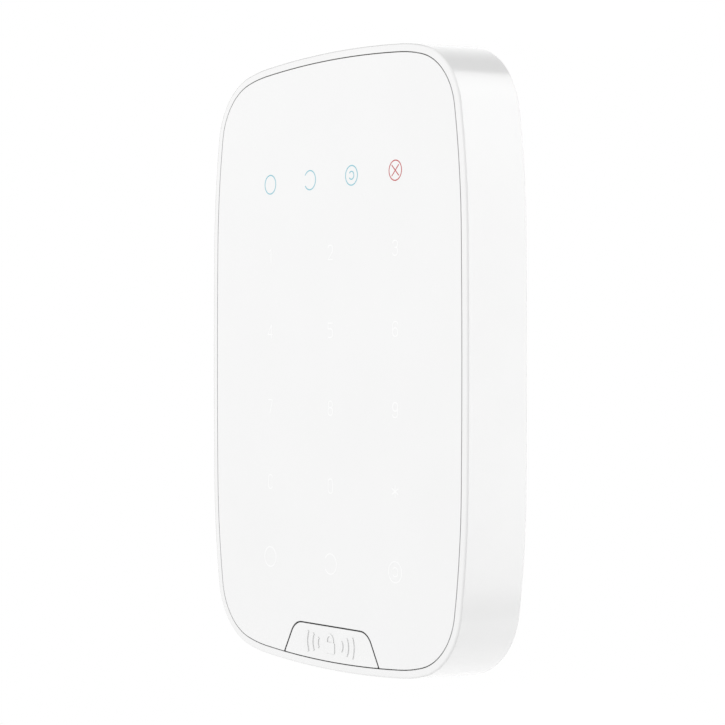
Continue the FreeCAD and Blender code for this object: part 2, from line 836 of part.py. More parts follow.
def make_switch(name, x, z, nib_radius, nib_rear):
    body = new_body(name)
    add(body, "case", P.switch_rear, P.board_rear, box_at(x, z, P.switch_half, P.switch_half))
    finish_edges(body, "case_edge", "Chamfer", 0.3, along_depth)
    add(body, "nib", nib_rear, P.switch_rear, disc(x, z, nib_radius))


# ---- Moving pieces ----

def make_tamper_plunger():
    body = new_body("tamper_plunger")
    add(body, "shaft", P.plunger_tip, P.collar_rear, disc(0, P.plunger_z, P.plunger_radius))
    finish_edges(body, "tip", "Fillet", P.plunger_round, at_depth(P.plunger_tip))
    add(body, "collar", P.collar_rear, P.collar_front, disc(0, P.plunger_z, P.collar_radius))
    add(body, "rod", P.collar_front, P.rod_front, disc(0, P.plunger_z, P.rod_radius))


def make_tamper_spring():
    """The space that the coil spring fills between the collar and the switch."""
    body = new_body("tamper_spring")
    rear = P.collar_front + P.spring_play
    front = P.switch_rear - P.spring_play
    add(body, "coil", rear, front, disc(0, P.plunger_z, P.spring_outer),
        disc(0, P.plunger_z, P.spring_inner))


def make_power_button():
    body = new_body("power_button")
    x, z = P.button_x, P.button_z
    add(body, "cap", P.button_rear, P.flange_rear, disc(x, z, P.button_radius))
    finish_edges(body, "cap_edge", "Fillet", 0.3, at_depth(P.button_rear))
    add(body, "flange", P.flange_rear, P.flange_front, disc(x, z, P.flange_radius))
    add(body, "stem", P.flange_front, P.stem_front, disc(x, z, P.stem_radius))


# ---- Batteries ----

def make_battery_tray(name, side):
    body = new_body(name)
    half_x = P.cell_radius + P.tray_play
    outer_x = half_x + P.tray_wall
    x = P.cell_x * side
    half_z = P.bay_divider / 2 + P.bay_length
    wall = P.bay_divider
    floor = cover_front + P.tray_floor
    add(body, "floor", cover_front, floor, box_at(x, 0, outer_x, half_z + wall))
    add(body, "sides", cover_front, P.tray_side_front,
        rectangle(x - outer_x, x - half_x, -half_z - wall, half_z + wall),
        rectangle(x + half_x, x + outer_x, -half_z - wall, half_z + wall))
    add(body, "ends", cover_front, P.tray_end_front,
        rectangle(x - outer_x, x + outer_x, half_z, half_z + wall),
        rectangle(x - outer_x, x + outer_x, -half_z - wall, -half_z),
        rectangle(x - outer_x, x + outer_x, -wall / 2, wall / 2))


def make_battery(name, x, z, half_turn):
    """A AAA cell drawn along +Z from its flat end, its button at the top."""
    body = new_body(name)
    case = P.cell_length - P.cell_nub_height
    add(body, "case", 0, case, disc(0, 0, P.cell_radius), plane="XY_Plane")
    finish_edges(body, "case_edge", "Fillet", P.cell_round,
                 lambda edge: edge.BoundBox.ZLength < 1e-4)
    add(body, "button", case - P.cell_round, P.cell_length, disc(0, 0, P.cell_nub),
        plane="XY_Plane")
    place(body, x, cell_depth, z, half_turn)


def make_contact(name, side, wall, inward, spring):
    """A contact plate on a bay's end wall, with a tail to the board and perhaps a coil."""
    body = new_body(name)
    thick = P.contact_thick
    x = P.cell_x * side
    inner = x - (P.cell_radius + P.tray_play / 2) * side
    outer = x + P.contact_half * side
    left, right = (inner, outer) if side > 0 else (outer, inner)
    low, high = (wall, wall + thick) if inward > 0 else (wall - thick, wall)
    add(body, "plate", P.contact_rear, P.contact_front, rectangle(left, right, low, high))
    tail = inner - P.tail_length * side
    root = inner + thick * side
    left, right = (tail, root) if side > 0 else (root, tail)
    low, high = (wall, wall + P.tail_width) if inward > 0 else (wall - P.tail_width, wall)
    add(body, "tail", P.board_rear - thick, P.board_rear, rectangle(left, right, low, high))
    if not spring:
        return
    coil = add(body, "coil", wall, wall + thick + P.coil_length, disc(x, -cell_depth, P.coil_base),
               taper=P.coil_taper, plane="XY_Plane")
    if inward < 0:
        coil.Reversed = True
        doc.recompute()


def make_battery_bay(side, level):
    """One cell with its two contacts; the cells' buttons point up on the right, down on the left."""
    place_name = f"{'upper' if level > 0 else 'lower'}_{'right' if side > 0 else 'left'}"
    near = P.bay_divider / 2 * level
    far = near + P.bay_length * level
    low, high = (near, far) if level > 0 else (far, near)
    base, top = (low, high) if side > 0 else (high, low)
    make_contact(f"battery_spring_{place_name}", side, base, side, True)
    make_contact(f"battery_plate_{place_name}", side, top, -side, False)
    rest = base + (P.contact_thick + P.coil_length + P.cell_gap) * side
    make_battery(f"battery_{place_name}", P.cell_x * side, rest, side < 0)


make_mounting_bracket()
make_housing()
make_touch_panel()
make_panel_adhesive_ring()
make_badge_plate()
make_rear_cover()
make_rating_label()
make_screws("cover_screws", cover_screw_points, P.cup_seat, P.cover_screw_head,
            P.cover_screw_head_height, P.cover_screw_radius, P.cover_screw_length)
make_touch_sensor_film()
make_light_baffle()
stack_sheet("diffuser_sheet", diffuser_rear, film_rear)
make_leds("key_leds", key_points)
make_leds("status_leds", icon_points)
make_main_board()
make_screws("board_screws", board_screw_points, P.board_rear, P.screw_head,
            P.screw_head_height, P.screw_radius, P.board_thick + P.screw_length)
make_film_connector()
make_controller_chip()
make_radio_shield()
make_sounder()
make_reservoir_capacitor()
make_antenna()
make_small_components()
make_switch("tamper_switch", Size.of(0), P.plunger_z, P.nib_radius, P.nib_rear)
make_switch("power_switch", P.button_x, P.button_z, P.key_nib_radius, P.key_nib_rear)
make_tamper_plunger()
make_tamper_spring()
make_power_button()
for column, side in (("left", -1), ("right", 1)):
    make_battery_tray(f"battery_tray_{column}", side)
    for level in (1, -1):
        make_battery_bay(side, level)


# ---- Checks and export ----

doc.recompute()
for item in doc.Objects:
    if "Invalid" in item.State or "Error" in item.State:
        raise RuntimeError(f"{item.Name} is {item.State}")
bodies = [item for item in doc.Objects if item.TypeId == "PartDesign::Body"]
for body in bodies:
    if body.Shape.isNull() or not body.Shape.isValid():
        raise RuntimeError(f"{body.Label} has no valid shape")

os.makedirs("parts", exist_ok=True)
for body in bodies:
    body.Shape.exportStep(f"parts/{body.Label}.step")
    box = body.Shape.optimalBoundingBox()
    print(f"{body.Label:28s} {len(body.Shape.Solids):3d} solids  {body.Shape.Volume:10.2f} mm3"
          f"  {box.XLength:7.2f} x {box.YLength:6.2f} x {box.ZLength:7.2f} mm")
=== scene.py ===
import math

import bmesh
import bpy
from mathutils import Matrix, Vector


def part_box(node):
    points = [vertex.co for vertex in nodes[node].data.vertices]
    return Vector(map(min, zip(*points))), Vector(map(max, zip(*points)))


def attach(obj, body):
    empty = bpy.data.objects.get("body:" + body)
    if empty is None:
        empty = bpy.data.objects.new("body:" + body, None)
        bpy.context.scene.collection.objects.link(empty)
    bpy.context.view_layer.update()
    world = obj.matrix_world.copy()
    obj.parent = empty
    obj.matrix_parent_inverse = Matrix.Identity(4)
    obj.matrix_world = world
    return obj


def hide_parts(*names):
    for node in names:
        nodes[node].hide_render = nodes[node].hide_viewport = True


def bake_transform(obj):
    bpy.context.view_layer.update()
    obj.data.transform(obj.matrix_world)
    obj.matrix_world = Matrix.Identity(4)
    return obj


# Alarm keypad panel. Lengths are in millimetres until a mesh, the camera or a bump is written out
# in metres; only the lamp and the floor are in metres from the start. "Depth" is the distance from
# the wall, along -Y, as in the CAD model; +X is the viewer's right.

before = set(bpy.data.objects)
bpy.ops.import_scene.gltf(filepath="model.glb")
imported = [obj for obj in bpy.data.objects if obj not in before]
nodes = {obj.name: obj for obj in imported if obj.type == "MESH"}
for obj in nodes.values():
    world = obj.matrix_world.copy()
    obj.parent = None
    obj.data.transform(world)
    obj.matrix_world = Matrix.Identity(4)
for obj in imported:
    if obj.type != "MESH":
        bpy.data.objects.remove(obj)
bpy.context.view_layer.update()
scene = bpy.context.scene
MM = 0.001


def span(node):
    """The lowest and highest (x, depth, z) of a CAD node."""
    low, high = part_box(node)
    return Vector((low.x, -high.y, low.z)) / MM, Vector((high.x, -low.y, high.z)) / MM


# ---- Sizes: the frame gives where things are, and these give the shape of what shows ----

panel_low, panel_high = span("touch_panel")
housing_low, housing_high = span("housing")
foam_low, foam_high = span("panel_adhesive_ring")
badge_low, badge_high = span("badge_plate")

REAR = housing_low.y
FRONT = housing_high.y
PANEL_REAR = foam_high.y
LEDGE_FRONT = foam_low.y

# Insets are measured inwards from the outline of the CAD housing's rear edge
PANEL_INSET = 2.59
PANEL_GAP = 0.22
OPENING_INSET = PANEL_INSET - PANEL_GAP
LEDGE_INSET = 4.6
LEDGE_THICK = 1.2
CAVITY_INSET = 2.3
HALF_WIDTH = panel_high.x + PANEL_INSET
HALF_HEIGHT = panel_high.z + PANEL_INSET
DRAFT = math.radians(1.76)
REAR_FLARE = 0.3  # the side wall leans a little more in the photo than in the CAD
REAR_EDGE = 0.15  # radii of the housing's and panel's rounded edges
FRONT_EDGE = 0.55
OPENING_EDGE = 0.1
PANEL_EDGE = 0.1

ARC_RADII = (2123.3, 204.8, 18.24, 48.5, 333.1)  # side, shoulder, corner, crown and end arcs
ARC_SPANS = (0.787, 7.982, 66.489, 10.035)  # degrees; the end arc closes the quarter turn
ARC_STEPS = (8, 10, 26, 6, 8)
EDGE_STEPS = 6

BOSS_X = 39.4
BOSS_Z = 62.4
BOSS_REAR = 4.2
BOSS_RADIUS = 3.2
BOSS_PILOT = 1.2
BOSS_PILOT_END = 13.2
RIB_REAR = 5.2
RIB_HALF = 0.42
RIB_REACH = 3.78

POSTS = ((12.6, 16.71), (12.6, -20.93), (29.5, 61.5), (29.5, -56.0))
POST_RADIUS = 2.5
POST_PILOT = 0.9
POST_PILOT_DEPTH = 2.4
OVERLAP = 0.2  # how far a boss or post reaches into what it stands on

BADGE_DROP = 0.22  # the badge's top is this much lower in the photo than in the CAD
BADGE_TOP = badge_high.z - BADGE_DROP
BADGE_REAR = badge_low.y
BADGE_TOP_HALF = 14.45
BADGE_SLOPE = 0.56
BADGE_CORNER = 4.6
BADGE_FOOT_CORNER = 0.25
BADGE_EDGE = 0.12
BADGE_GAP = 0.32
RECESS_FLOOR = FRONT - 1.2
# front of the dark strip of painted shade in the gap round the badge
GAP_SHADE_FRONT = FRONT - 0.1

EMBLEM_Z = -68.3
EMBLEM_PROUD = FRONT + 0.24
EMBLEM_ROOT = FRONT - 0.1

KEY_PITCH_X = 25.2
KEY_PITCH_Z = 18.775
KEY_TOP = 26.19
KEY_STROKE = 0.28
ICON_PITCH = 16.82
ICON_Z = 44.16
ICON_STROKE = 0.27
RING_OPEN = 147  # degrees from +X to each end of an open ring
PRINT_HEIGHT = 0.02
PRINT_STEP = 0.002
PRINT_SHIFT = 0.08  # the printing sits this far right of the panel's middle


# ---- Outlines in the plane of the front: lists of (x, z, outward x, outward z) ----

def quarter_arcs():
    """(centre x, centre z, radius, start, end, steps) of the arcs from the +X side to the top."""
    turn = 0.0
    x, z = HALF_WIDTH - ARC_RADII[0], 0.0
    arcs = []
    for index, degrees in enumerate(ARC_SPANS):
        radius, next_radius = ARC_RADII[index:index + 2]
        end = turn + math.radians(degrees)
        arcs.append((x, z, radius, turn, end, ARC_STEPS[index]))
        x += (radius - next_radius) * math.cos(end)
        z += (radius - next_radius) * math.sin(end)
        turn = end
    arcs.append((0.0, HALF_HEIGHT - ARC_RADII[-1], ARC_RADII[-1], turn, math.pi / 2, ARC_STEPS[-1]))
    return arcs


def body_outline(inset):
    """The outline of the housing, moved inwards, anticlockwise from the middle of the bottom."""
    quarter = []
    for x, z, radius, start, end, steps in quarter_arcs():
        for step in range(steps):
            angle = start + (end - start) * step / steps
            nx, nz = math.cos(angle), math.sin(angle)
            quarter.append((x + (radius - inset) * nx, z + (radius - inset) * nz, nx, nz))
    quarter.append((0.0, HALF_HEIGHT - inset, 0.0, 1.0))
    right = [(x, -z, nx, -nz) for x, z, nx, nz in reversed(quarter[1:])] + quarter
    return right + [(-x, z, -nx, nz) for x, z, nx, nz in reversed(right[1:-1])]


def bottom_edge(x, inset):
    """Height of the outline's bottom arc at x."""
    radius = ARC_RADII[-1] - inset
    return -(HALF_HEIGHT - ARC_RADII[-1]) - math.sqrt(radius ** 2 - x ** 2)


def rounded_path(corners, closed=True, arc_step=math.radians(9)):
    """Turns corners (x, z, radius) into points with outward normals; anticlockwise if closed."""
    places = [Vector(corner[:2]) for corner in corners]
    count = len(corners)
    points = []
    for index, corner in enumerate(places):
        radius = corners[index][2]
        at_end = not closed and index in (0, count - 1)
        if radius == 0 or at_end:
            points.append(corner)
            continue
        back = (places[index - 1] - corner).normalized()
        ahead = (places[(index + 1) % count] - corner).normalized()
        half_turn = (math.pi - back.angle(ahead)) / 2
        start = corner + back * radius * math.tan(half_turn)
        centre = corner + (back + ahead).normalized() * radius / math.cos(half_turn)
        arm = start - centre
        sign = 1 if back.x * ahead.y - back.y * ahead.x < 0 else -1
        steps = max(2, round(2 * half_turn / arc_step))
        for step in range(steps + 1):
            angle = sign * 2 * half_turn * step / steps
            cos, sin = math.cos(angle), math.sin(angle)
            points.append(centre + Vector((arm.x * cos - arm.y * sin, arm.x * sin + arm.y * cos)))
    path = []
    count = len(points)
    for index, point in enumerate(points):
        before = points[index - 1] if closed or index > 0 else None
        after = points[(index + 1) % count] if closed or index < count - 1 else None
        normal = Vector((0, 0))
        for start, end in ((before, point), (point, after)):
            if start is not None and end is not None and (end - start).length > 1e-9:
                along = (end - start).normalized()
                normal += Vector((along.y, -along.x))
        normal.normalize()
        path.append((point.x, point.y, normal.x, normal.y))
    return path


# ---- Meshes with a normal for each face corner, so that flats stay flat beside roundings ----

BACKWARDS = (0, 1, 0)
FORWARDS = (0, -1, 0)


def row(path, depth, inset=0.0):
    """A path's points at a depth, moved inwards."""
    return [(x - nx * inset, -depth, z - nz * inset) for x, z, nx, nz in path]


def leaning(path, forward):
    """A path's outward normals, tipped to the front by an angle."""
    cos, sin = math.cos(forward), math.sin(forward)
    return [(nx * cos, -sin, nz * cos) for x, z, nx, nz in path]


class Surface:
    """Collects faces with a normal at each corner, and welds points that coincide."""

    def __init__(self):
        self.points = []
        self.places = {}
        self.faces = []
        self.normals = []

    def vertex(self, point):
        key = tuple(round(c, 5) for c in point)
        if key not in self.places:
            self.places[key] = len(self.points)
            self.points.append(point)
        return self.places[key]

    def face(self, corners, normals):
        indexes = [self.vertex(corner) for corner in corners]
        kept = [i for i, index in enumerate(indexes) if index != indexes[i - 1]]
        if len(kept) > 2:
            self.faces.append([indexes[i] for i in kept])
            self.normals += [normals[i] for i in kept]

    def strip(self, first, second, first_normals, second_normals, closed=True):
        """Faces between two rows of points that run the same way."""
        count = len(first)
        for i in range(count if closed else count - 1):
            j = (i + 1) % count
            self.face([first[i], first[j], second[j], second[i]],
                      [first_normals[i], first_normals[j], second_normals[j], second_normals[i]])

    def cap(self, points, normal):
        self.face(points, [normal] * len(points))

    def plate(self, path, rear, front, rim=0.0):
        """A closed plate, anticlockwise seen from the front, with its front edge rounded."""
        self.cap(row(path, rear)[::-1], BACKWARDS)
        level = leaning(path, 0)
        self.strip(row(path, rear), row(path, front - rim), level, level)
        self.rim(path, front, rim)

    def rim(self, path, front, rim):
        """The rounded front edge of a plate, and its front face."""
        last = row(path, front - rim)
        for step in range(EDGE_STEPS if rim else 0):
            start, end = (math.pi / 2 * (step + i) / EDGE_STEPS for i in (0, 1))
            depth = front - rim + rim * math.sin(end)
            after = row(path, depth, rim * (1 - math.cos(end)))
            self.strip(last, after, leaning(path, start), leaning(path, end))
            last = after
        self.cap(last, FORWARDS)

    def lathe(self, x, z, profile, steps=32):
        """A solid of revolution about an axis along the depth, from (radius, depth) corners."""
        turns = [2 * math.pi * step / steps for step in range(steps)]
        for (r0, d0), (r1, d1) in zip(profile, profile[1:] + profile[:1]):
            along = Vector((r1 - r0, d1 - d0)).normalized()
            rows = [[(x + r * math.cos(a), -d, z + r * math.sin(a)) for a in turns]
                    for r, d in ((r0, d0), (r1, d1))]
            normals = [(along.y * math.cos(a), along.x, along.y * math.sin(a)) for a in turns]
            self.strip(*rows, normals, normals)

    def ribbon(self, path, width, rear, front, closed=False):
        """A flat stroke of the given width along a path."""
        count = len(path)
        sides = []
        for index, (x, z, nx, nz) in enumerate(path):
            x1, z1 = path[(index + 1) % count if closed else min(index + 1, count - 1)][:2]
            along = Vector((x1 - x, z1 - z))
            if along.length < 1e-9:
                along = Vector((x - path[index - 1][0], z - path[index - 1][1]))
            along.normalize()
            stretch = min(2.0, 1 / max(0.2, abs(nx * along.y - nz * along.x)))
            sides.append(stretch * width / 2)
        outer = [(x + nx * s, z + nz * s, nx, nz) for (x, z, nx, nz), s in zip(path, sides)]
        inner = [(x - nx * s, z - nz * s, -nx, -nz) for (x, z, nx, nz), s in zip(path, sides)]
        out, into = leaning(outer, 0), leaning(inner, 0)
        flat_back, flat_front = [BACKWARDS] * count, [FORWARDS] * count
        self.strip(row(outer, rear), row(outer, front), out, out, closed)
        self.strip(row(outer, front), row(inner, front), flat_front, flat_front, closed)
        self.strip(row(inner, front), row(inner, rear), into, into, closed)
        self.strip(row(inner, rear), row(outer, rear), flat_back, flat_back, closed)
        if closed:
            return
        for index, sign in ((0, -1), (-1, 1)):
            nx, nz = path[index][2:]
            end = (-nz * sign, 0, nx * sign)
            corners = [row(side, depth)[index] for side, depth in
                       ((inner, rear), (inner, front), (outer, front), (outer, rear))]
            self.cap(corners[::sign], end)

    def tube(self, points, radius, sides=10):
        """A round wire along points, with flat ends."""
        points = [Vector(point) for point in points]
        rings, normals = [], []
        side = (points[1] - points[0]).orthogonal().normalized()
        for index, point in enumerate(points):
            ahead = points[min(index + 1, len(points) - 1)]
            along = (ahead - points[max(index - 1, 0)]).normalized()
            side = (side - along * side.dot(along)).normalized()
            across = along.cross(side)
            turns = [2 * math.pi * i / sides for i in range(sides)]
            normals.append([side * math.cos(a) + across * math.sin(a) for a in turns])
            rings.append([tuple(point + n * radius) for n in normals[-1]])
        for index in range(len(rings) - 1):
            self.strip(rings[index], rings[index + 1], normals[index], normals[index + 1])
        self.cap(rings[0][::-1], points[0] - points[1])
        self.cap(rings[-1], points[-1] - points[-2])

    def piece(self, name, material, body="keypad", replaces=()):
        mesh = bpy.data.meshes.new(name)
        mesh.from_pydata([Vector(point) * MM for point in self.points], [], self.faces)
        mesh.polygons.foreach_set("use_smooth", [True] * len(mesh.polygons))
        mesh.normals_split_custom_set([Vector(normal).normalized() for normal in self.normals])
        mesh.materials.append(material)
        item = bpy.data.objects.new(name, mesh)
        scene.collection.objects.link(item)
        if body:
            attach(item, body)
        if replaces:
            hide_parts(*replaces)
        return item


# ---- Materials: each works in object space, so that no seam or stretch shows ----

class Graph:
    """Adds nodes to a node tree; a helper's inputs are sockets or plain numbers."""

    def __init__(self, tree):
        self.tree = tree

    def node(self, kind, **settings):
        node = self.tree.nodes.new(kind)
        for name, value in settings.items():
            setattr(node, name, value)
        return node

    def join(self, value, target):
        if isinstance(value, bpy.types.NodeSocket):
            self.tree.links.new(value, target)
        else:
            target.default_value = value

    def math(self, operation, *values):
        node = self.node("ShaderNodeMath", operation=operation)
        for value, target in zip(values, node.inputs):
            self.join(value, target)
        return node.outputs[0]

    def split(self, vector):
        node = self.node("ShaderNodeSeparateXYZ")
        self.join(vector, node.inputs[0])
        return node.outputs[:3]

    def combine(self, *values):
        node = self.node("ShaderNodeCombineXYZ")
        for value, target in zip(values, node.inputs):
            self.join(value, target)
        return node.outputs[0]

    def remap(self, value, low, high, to_low=0.0, to_high=1.0, smooth=False):
        node = self.node("ShaderNodeMapRange")
        if smooth:
            node.interpolation_type = "SMOOTHSTEP"
        for socket, number in (("From Min", low), ("From Max", high),
                               ("To Min", to_low), ("To Max", to_high)):
            node.inputs[socket].default_value = number
        self.join(value, node.inputs["Value"])
        return node.outputs["Result"]

    def ramp(self, value, *stops, hard=False):
        """Looks a value up in stops of (position, colour)."""
        node = self.node("ShaderNodeValToRGB")
        node.color_ramp.interpolation = "CONSTANT" if hard else "LINEAR"
        elements = node.color_ramp.elements
        while len(elements) < len(stops):
            elements.new(1.0)
        for element, (position, colour) in zip(elements, stops):
            element.position = position
            element.color = (*colour, 1)
        self.join(value, node.inputs["Fac"])
        return node.outputs["Color"]

    def mix(self, share, first, second):
        node = self.node("ShaderNodeMix", data_type="RGBA")
        self.join(share, node.inputs["Factor"])
        for colour, target in ((first, node.inputs[6]), (second, node.inputs[7])):
            self.join((*colour, 1) if isinstance(colour, tuple) else colour, target)
        return node.outputs[2]


class Finish(Graph):
    """A Principled material with helpers for its texture nodes; sizes are in millimetres."""

    def __init__(self, name, colour, roughness, **sockets):
        self.material = bpy.data.materials.new(name)
        self.material.use_nodes = True
        super().__init__(self.material.node_tree)
        self.shader = self.tree.nodes["Principled BSDF"]
        self.set("Base Color", (*colour, 1))
        self.set("Roughness", roughness)
        for socket, value in sockets.items():
            self.set(socket.replace("_", " "), value)
        self.place = self.node("ShaderNodeTexCoord").outputs["Object"]

    def set(self, socket, value):
        self.join(value, self.shader.inputs[socket])

    def scaled(self, *sizes):
        """The place, in units of the given sizes along each axis."""
        node = self.node("ShaderNodeVectorMath", operation="MULTIPLY")
        node.inputs[1].default_value = [1 / MM / size for size in sizes]
        self.join(self.place, node.inputs[0])
        return node.outputs["Vector"]

    def millimetres(self):
        return self.split(self.scaled(1, 1, 1))

    def noise(self, size, detail=2.0, stretch=(1, 1, 1)):
        noise = self.node("ShaderNodeTexNoise")
        noise.inputs["Scale"].default_value = 1.0
        noise.inputs["Detail"].default_value = detail
        self.join(self.scaled(*[size * axis for axis in stretch]), noise.inputs["Vector"])
        return noise.outputs["Fac"]

    def cells(self, size, flat=False):
        """Distance to the nearest of scattered points, in units of their spacing."""
        voronoi = self.node("ShaderNodeTexVoronoi")
        voronoi.inputs["Scale"].default_value = 1.0
        place = self.scaled(size, size, size)
        if flat:
            x, _, z = self.split(place)
            place = self.combine(x, z, 0.0)
        self.join(place, voronoi.inputs["Vector"])
        return voronoi.outputs["Distance"]

    def generated(self, index):
        return self.split(self.node("ShaderNodeTexCoord").outputs["Generated"])[index]

    def tint(self, share, *stops, hard=False):
        """Colours the surface by stops of (position, colour)."""
        self.set("Base Color", self.ramp(share, *stops, hard=hard))

    def mottle(self, size, low, high, detail=2.0, stretch=(1, 1, 1)):
        """Colours the surface with a noise between two colours."""
        self.tint(self.noise(size, detail, stretch), (0.3, low), (0.7, high))

    def polish(self, share, low, high):
        self.set("Roughness", self.remap(share, 0.3, 0.7, low, high))

    def relief(self, height, depth):
        """Bumps the surface by a height in 0 to 1, scaled to a depth."""
        bump = self.node("ShaderNodeBump")
        bump.inputs["Strength"].default_value = 1.0
        bump.inputs["Distance"].default_value = depth * MM
        self.join(height, bump.inputs["Height"])
        self.set("Normal", bump.outputs["Normal"])


def grey(level):
    return (level, level, level)


WHITE = 0.574
GLOSS_IOR = 1.8
SATIN_WHITE = 0.584
SATIN_IOR = 1.45


def white_moulding(name="white_moulding", roughness=0.13, grain=0.0012, grain_size=0.35):
    """White ABS: a faint flow mottle and a fine moulded grain."""
    finish = Finish(name, grey(WHITE), roughness, IOR=GLOSS_IOR)
    finish.mottle(14, grey(WHITE - 0.005), grey(WHITE + 0.005), 3)
    finish.polish(finish.noise(3, 4), roughness - 0.01, roughness + 0.02)
    finish.relief(finish.noise(grain_size, 2), grain)
    return finish.material


def front_panel():
    """Satin white sheet."""
    finish = Finish("front_panel", grey(SATIN_WHITE), 0.32, IOR=SATIN_IOR)
    finish.mottle(22, grey(SATIN_WHITE - 0.003), grey(SATIN_WHITE + 0.003))
    finish.polish(finish.noise(2, 3), 0.3, 0.34)
    finish.relief(finish.noise(0.25, 2), 0.001)
    return finish.material


def badge():
    """White moulding with a slightly softer shine than the sheet around it."""
    finish = Finish("badge", grey(SATIN_WHITE), 0.28, IOR=SATIN_IOR)
    finish.mottle(9, grey(SATIN_WHITE - 0.004), grey(SATIN_WHITE + 0.004))
    finish.polish(finish.noise(1.5, 3), 0.26, 0.31)
    finish.relief(finish.noise(0.3, 2), 0.001)
    return finish.material


def print_ink(name, colour):
    """Screen-printed ink, a little grainy."""
    finish = Finish(name, colour, 0.45, IOR=1.45)
    finish.mottle(0.12, tuple(c * 0.97 for c in colour), colour)
    return finish.material


def bonding_foam():
    """Black acrylic foam with fine closed cells."""
    finish = Finish("bonding_foam", grey(0.012), 0.8, IOR=1.4)
    cells = finish.cells(0.22)
    finish.tint(cells, (0.1, grey(0.006)), (0.7, grey(0.02)))
    finish.relief(cells, 0.03)
    return finish.material


def sensor_film():
    """Clear film with a printed ring electrode under every key, joined by fine lines."""
    finish = Finish("sensor_film", (0.5, 0.42, 0.24), 0.25, IOR=1.57, Transmission_Weight=0.35)
    x, _, z = finish.millimetres()
    across = finish.math("PINGPONG", finish.math("ADD", x, KEY_PITCH_X * 8), KEY_PITCH_X / 2)
    along = finish.math("PINGPONG", finish.math("SUBTRACT", z, KEY_TOP - KEY_PITCH_Z * 8),
                        KEY_PITCH_Z / 2)
    radius = finish.math("SQRT", finish.math("ADD", finish.math("POWER", across, 2.0),
                                             finish.math("POWER", along, 2.0)))
    ring = finish.math("COMPARE", radius, 6.0, 1.6)
    line = finish.math("LESS_THAN", across, 0.35)
    film = finish.ramp(finish.noise(6, 2), (0.3, (0.48, 0.40, 0.22)), (0.7, (0.54, 0.46, 0.27)))
    ink = finish.ramp(finish.noise(0.3, 2), (0.3, grey(0.42)), (0.7, grey(0.5)))
    finish.set("Base Color", finish.mix(finish.math("MAXIMUM", ring, line), film, ink))
    finish.polish(finish.noise(0.5, 2), 0.22, 0.3)
    return finish.material


def diffuser():
    """Milky sheet that spreads the light of the LEDs."""
    finish = Finish("diffuser", grey(0.8), 0.5, IOR=1.49, Transmission_Weight=0.3)
    finish.mottle(0.4, (0.77, 0.78, 0.79), (0.82, 0.83, 0.83))
    finish.relief(finish.noise(0.15, 1), 0.004)
    return finish.material


def baffle():
    """Matt white moulding between the LEDs, with flow marks down its length."""
    finish = Finish("baffle", grey(0.7), 0.6, IOR=1.5)
    finish.mottle(5, grey(0.67), grey(0.72), 3, (1, 1, 4))
    finish.relief(finish.noise(0.2, 2), 0.006)
    return finish.material


def circuit_board():
    """Green solder mask over copper tracks, with tinned vias."""
    finish = Finish("circuit_board", (0.01, 0.11, 0.04), 0.35, IOR=1.5)
    x, _, z = finish.millimetres()
    tracks = None
    for turned in (False, True):
        bricks = finish.node("ShaderNodeTexBrick", offset=0.37, squash=1.6, squash_frequency=3)
        for socket, number in (("Scale", 1.0), ("Mortar Size", 0.11), ("Mortar Smooth", 0.2),
                               ("Brick Width", 6.5), ("Row Height", 1.3)):
            bricks.inputs[socket].default_value = number
        place = finish.combine(z, x, 0.0) if turned else finish.combine(x, z, 0.0)
        finish.join(place, bricks.inputs["Vector"])
        where = finish.math("GREATER_THAN", finish.noise(9, 0), 0.52)
        where = finish.math("SUBTRACT", 1.0, where) if turned else where
        layer = finish.math("MULTIPLY", bricks.outputs["Fac"], where)
        tracks = layer if tracks is None else finish.math("MAXIMUM", tracks, layer)
    mask = finish.ramp(finish.noise(4, 3), (0.3, (0.007, 0.085, 0.03)),
                       (0.7, (0.012, 0.12, 0.045)))
    colour = finish.mix(tracks, mask, (0.03, 0.24, 0.09))
    via = finish.math("LESS_THAN", finish.cells(3.4, flat=True), 0.1)
    finish.set("Base Color", finish.mix(via, colour, (0.6, 0.58, 0.52)))
    finish.set("Metallic", via)
    finish.polish(finish.noise(1.2, 2), 0.3, 0.42)
    finish.relief(tracks, 0.03)
    return finish.material


def black_component():
    """Moulded epoxy, matt and slightly dusty."""
    finish = Finish("black_component", grey(0.02), 0.55, IOR=1.5)
    finish.mottle(0.6, grey(0.014), grey(0.03), 4)
    finish.polish(finish.noise(0.4, 2), 0.48, 0.62)
    finish.relief(finish.noise(0.12, 2), 0.006)
    return finish.material


def led_case():
    """Off-white package with a yellowish cast from its phosphor."""
    finish = Finish("led_case", (0.8, 0.76, 0.55), 0.35, IOR=1.53)
    finish.mottle(0.5, (0.78, 0.72, 0.46), (0.84, 0.82, 0.66))
    finish.relief(finish.noise(0.1, 1), 0.004)
    return finish.material


def sheet_metal(name, dark, light, low, high, stretch):
    """Rolled or drawn metal, with its lines along one axis."""
    finish = Finish(name, light, low, Metallic=1.0)
    lines = finish.noise(0.25, 3, stretch)
    finish.tint(lines, (0.3, dark), (0.7, light))
    finish.polish(lines, low, high)
    finish.relief(lines, 0.002)
    return finish.material


def capacitor_can():
    """Dark sleeve round the sides, bare aluminium on the end that faces the wall."""
    finish = Finish("capacitor_can", grey(0.03), 0.3, IOR=1.5)
    y = finish.millimetres()[1]
    bare = finish.math("GREATER_THAN", y, -(span("reservoir_capacitor")[0].y + 0.5))
    sleeve = finish.ramp(finish.noise(1.5, 3), (0.3, (0.012, 0.014, 0.03)),
                         (0.7, (0.02, 0.024, 0.045)))
    finish.set("Base Color", finish.mix(bare, sleeve, grey(0.7)))
    finish.set("Metallic", bare)
    finish.polish(finish.noise(0.4, 2), 0.26, 0.36)
    return finish.material


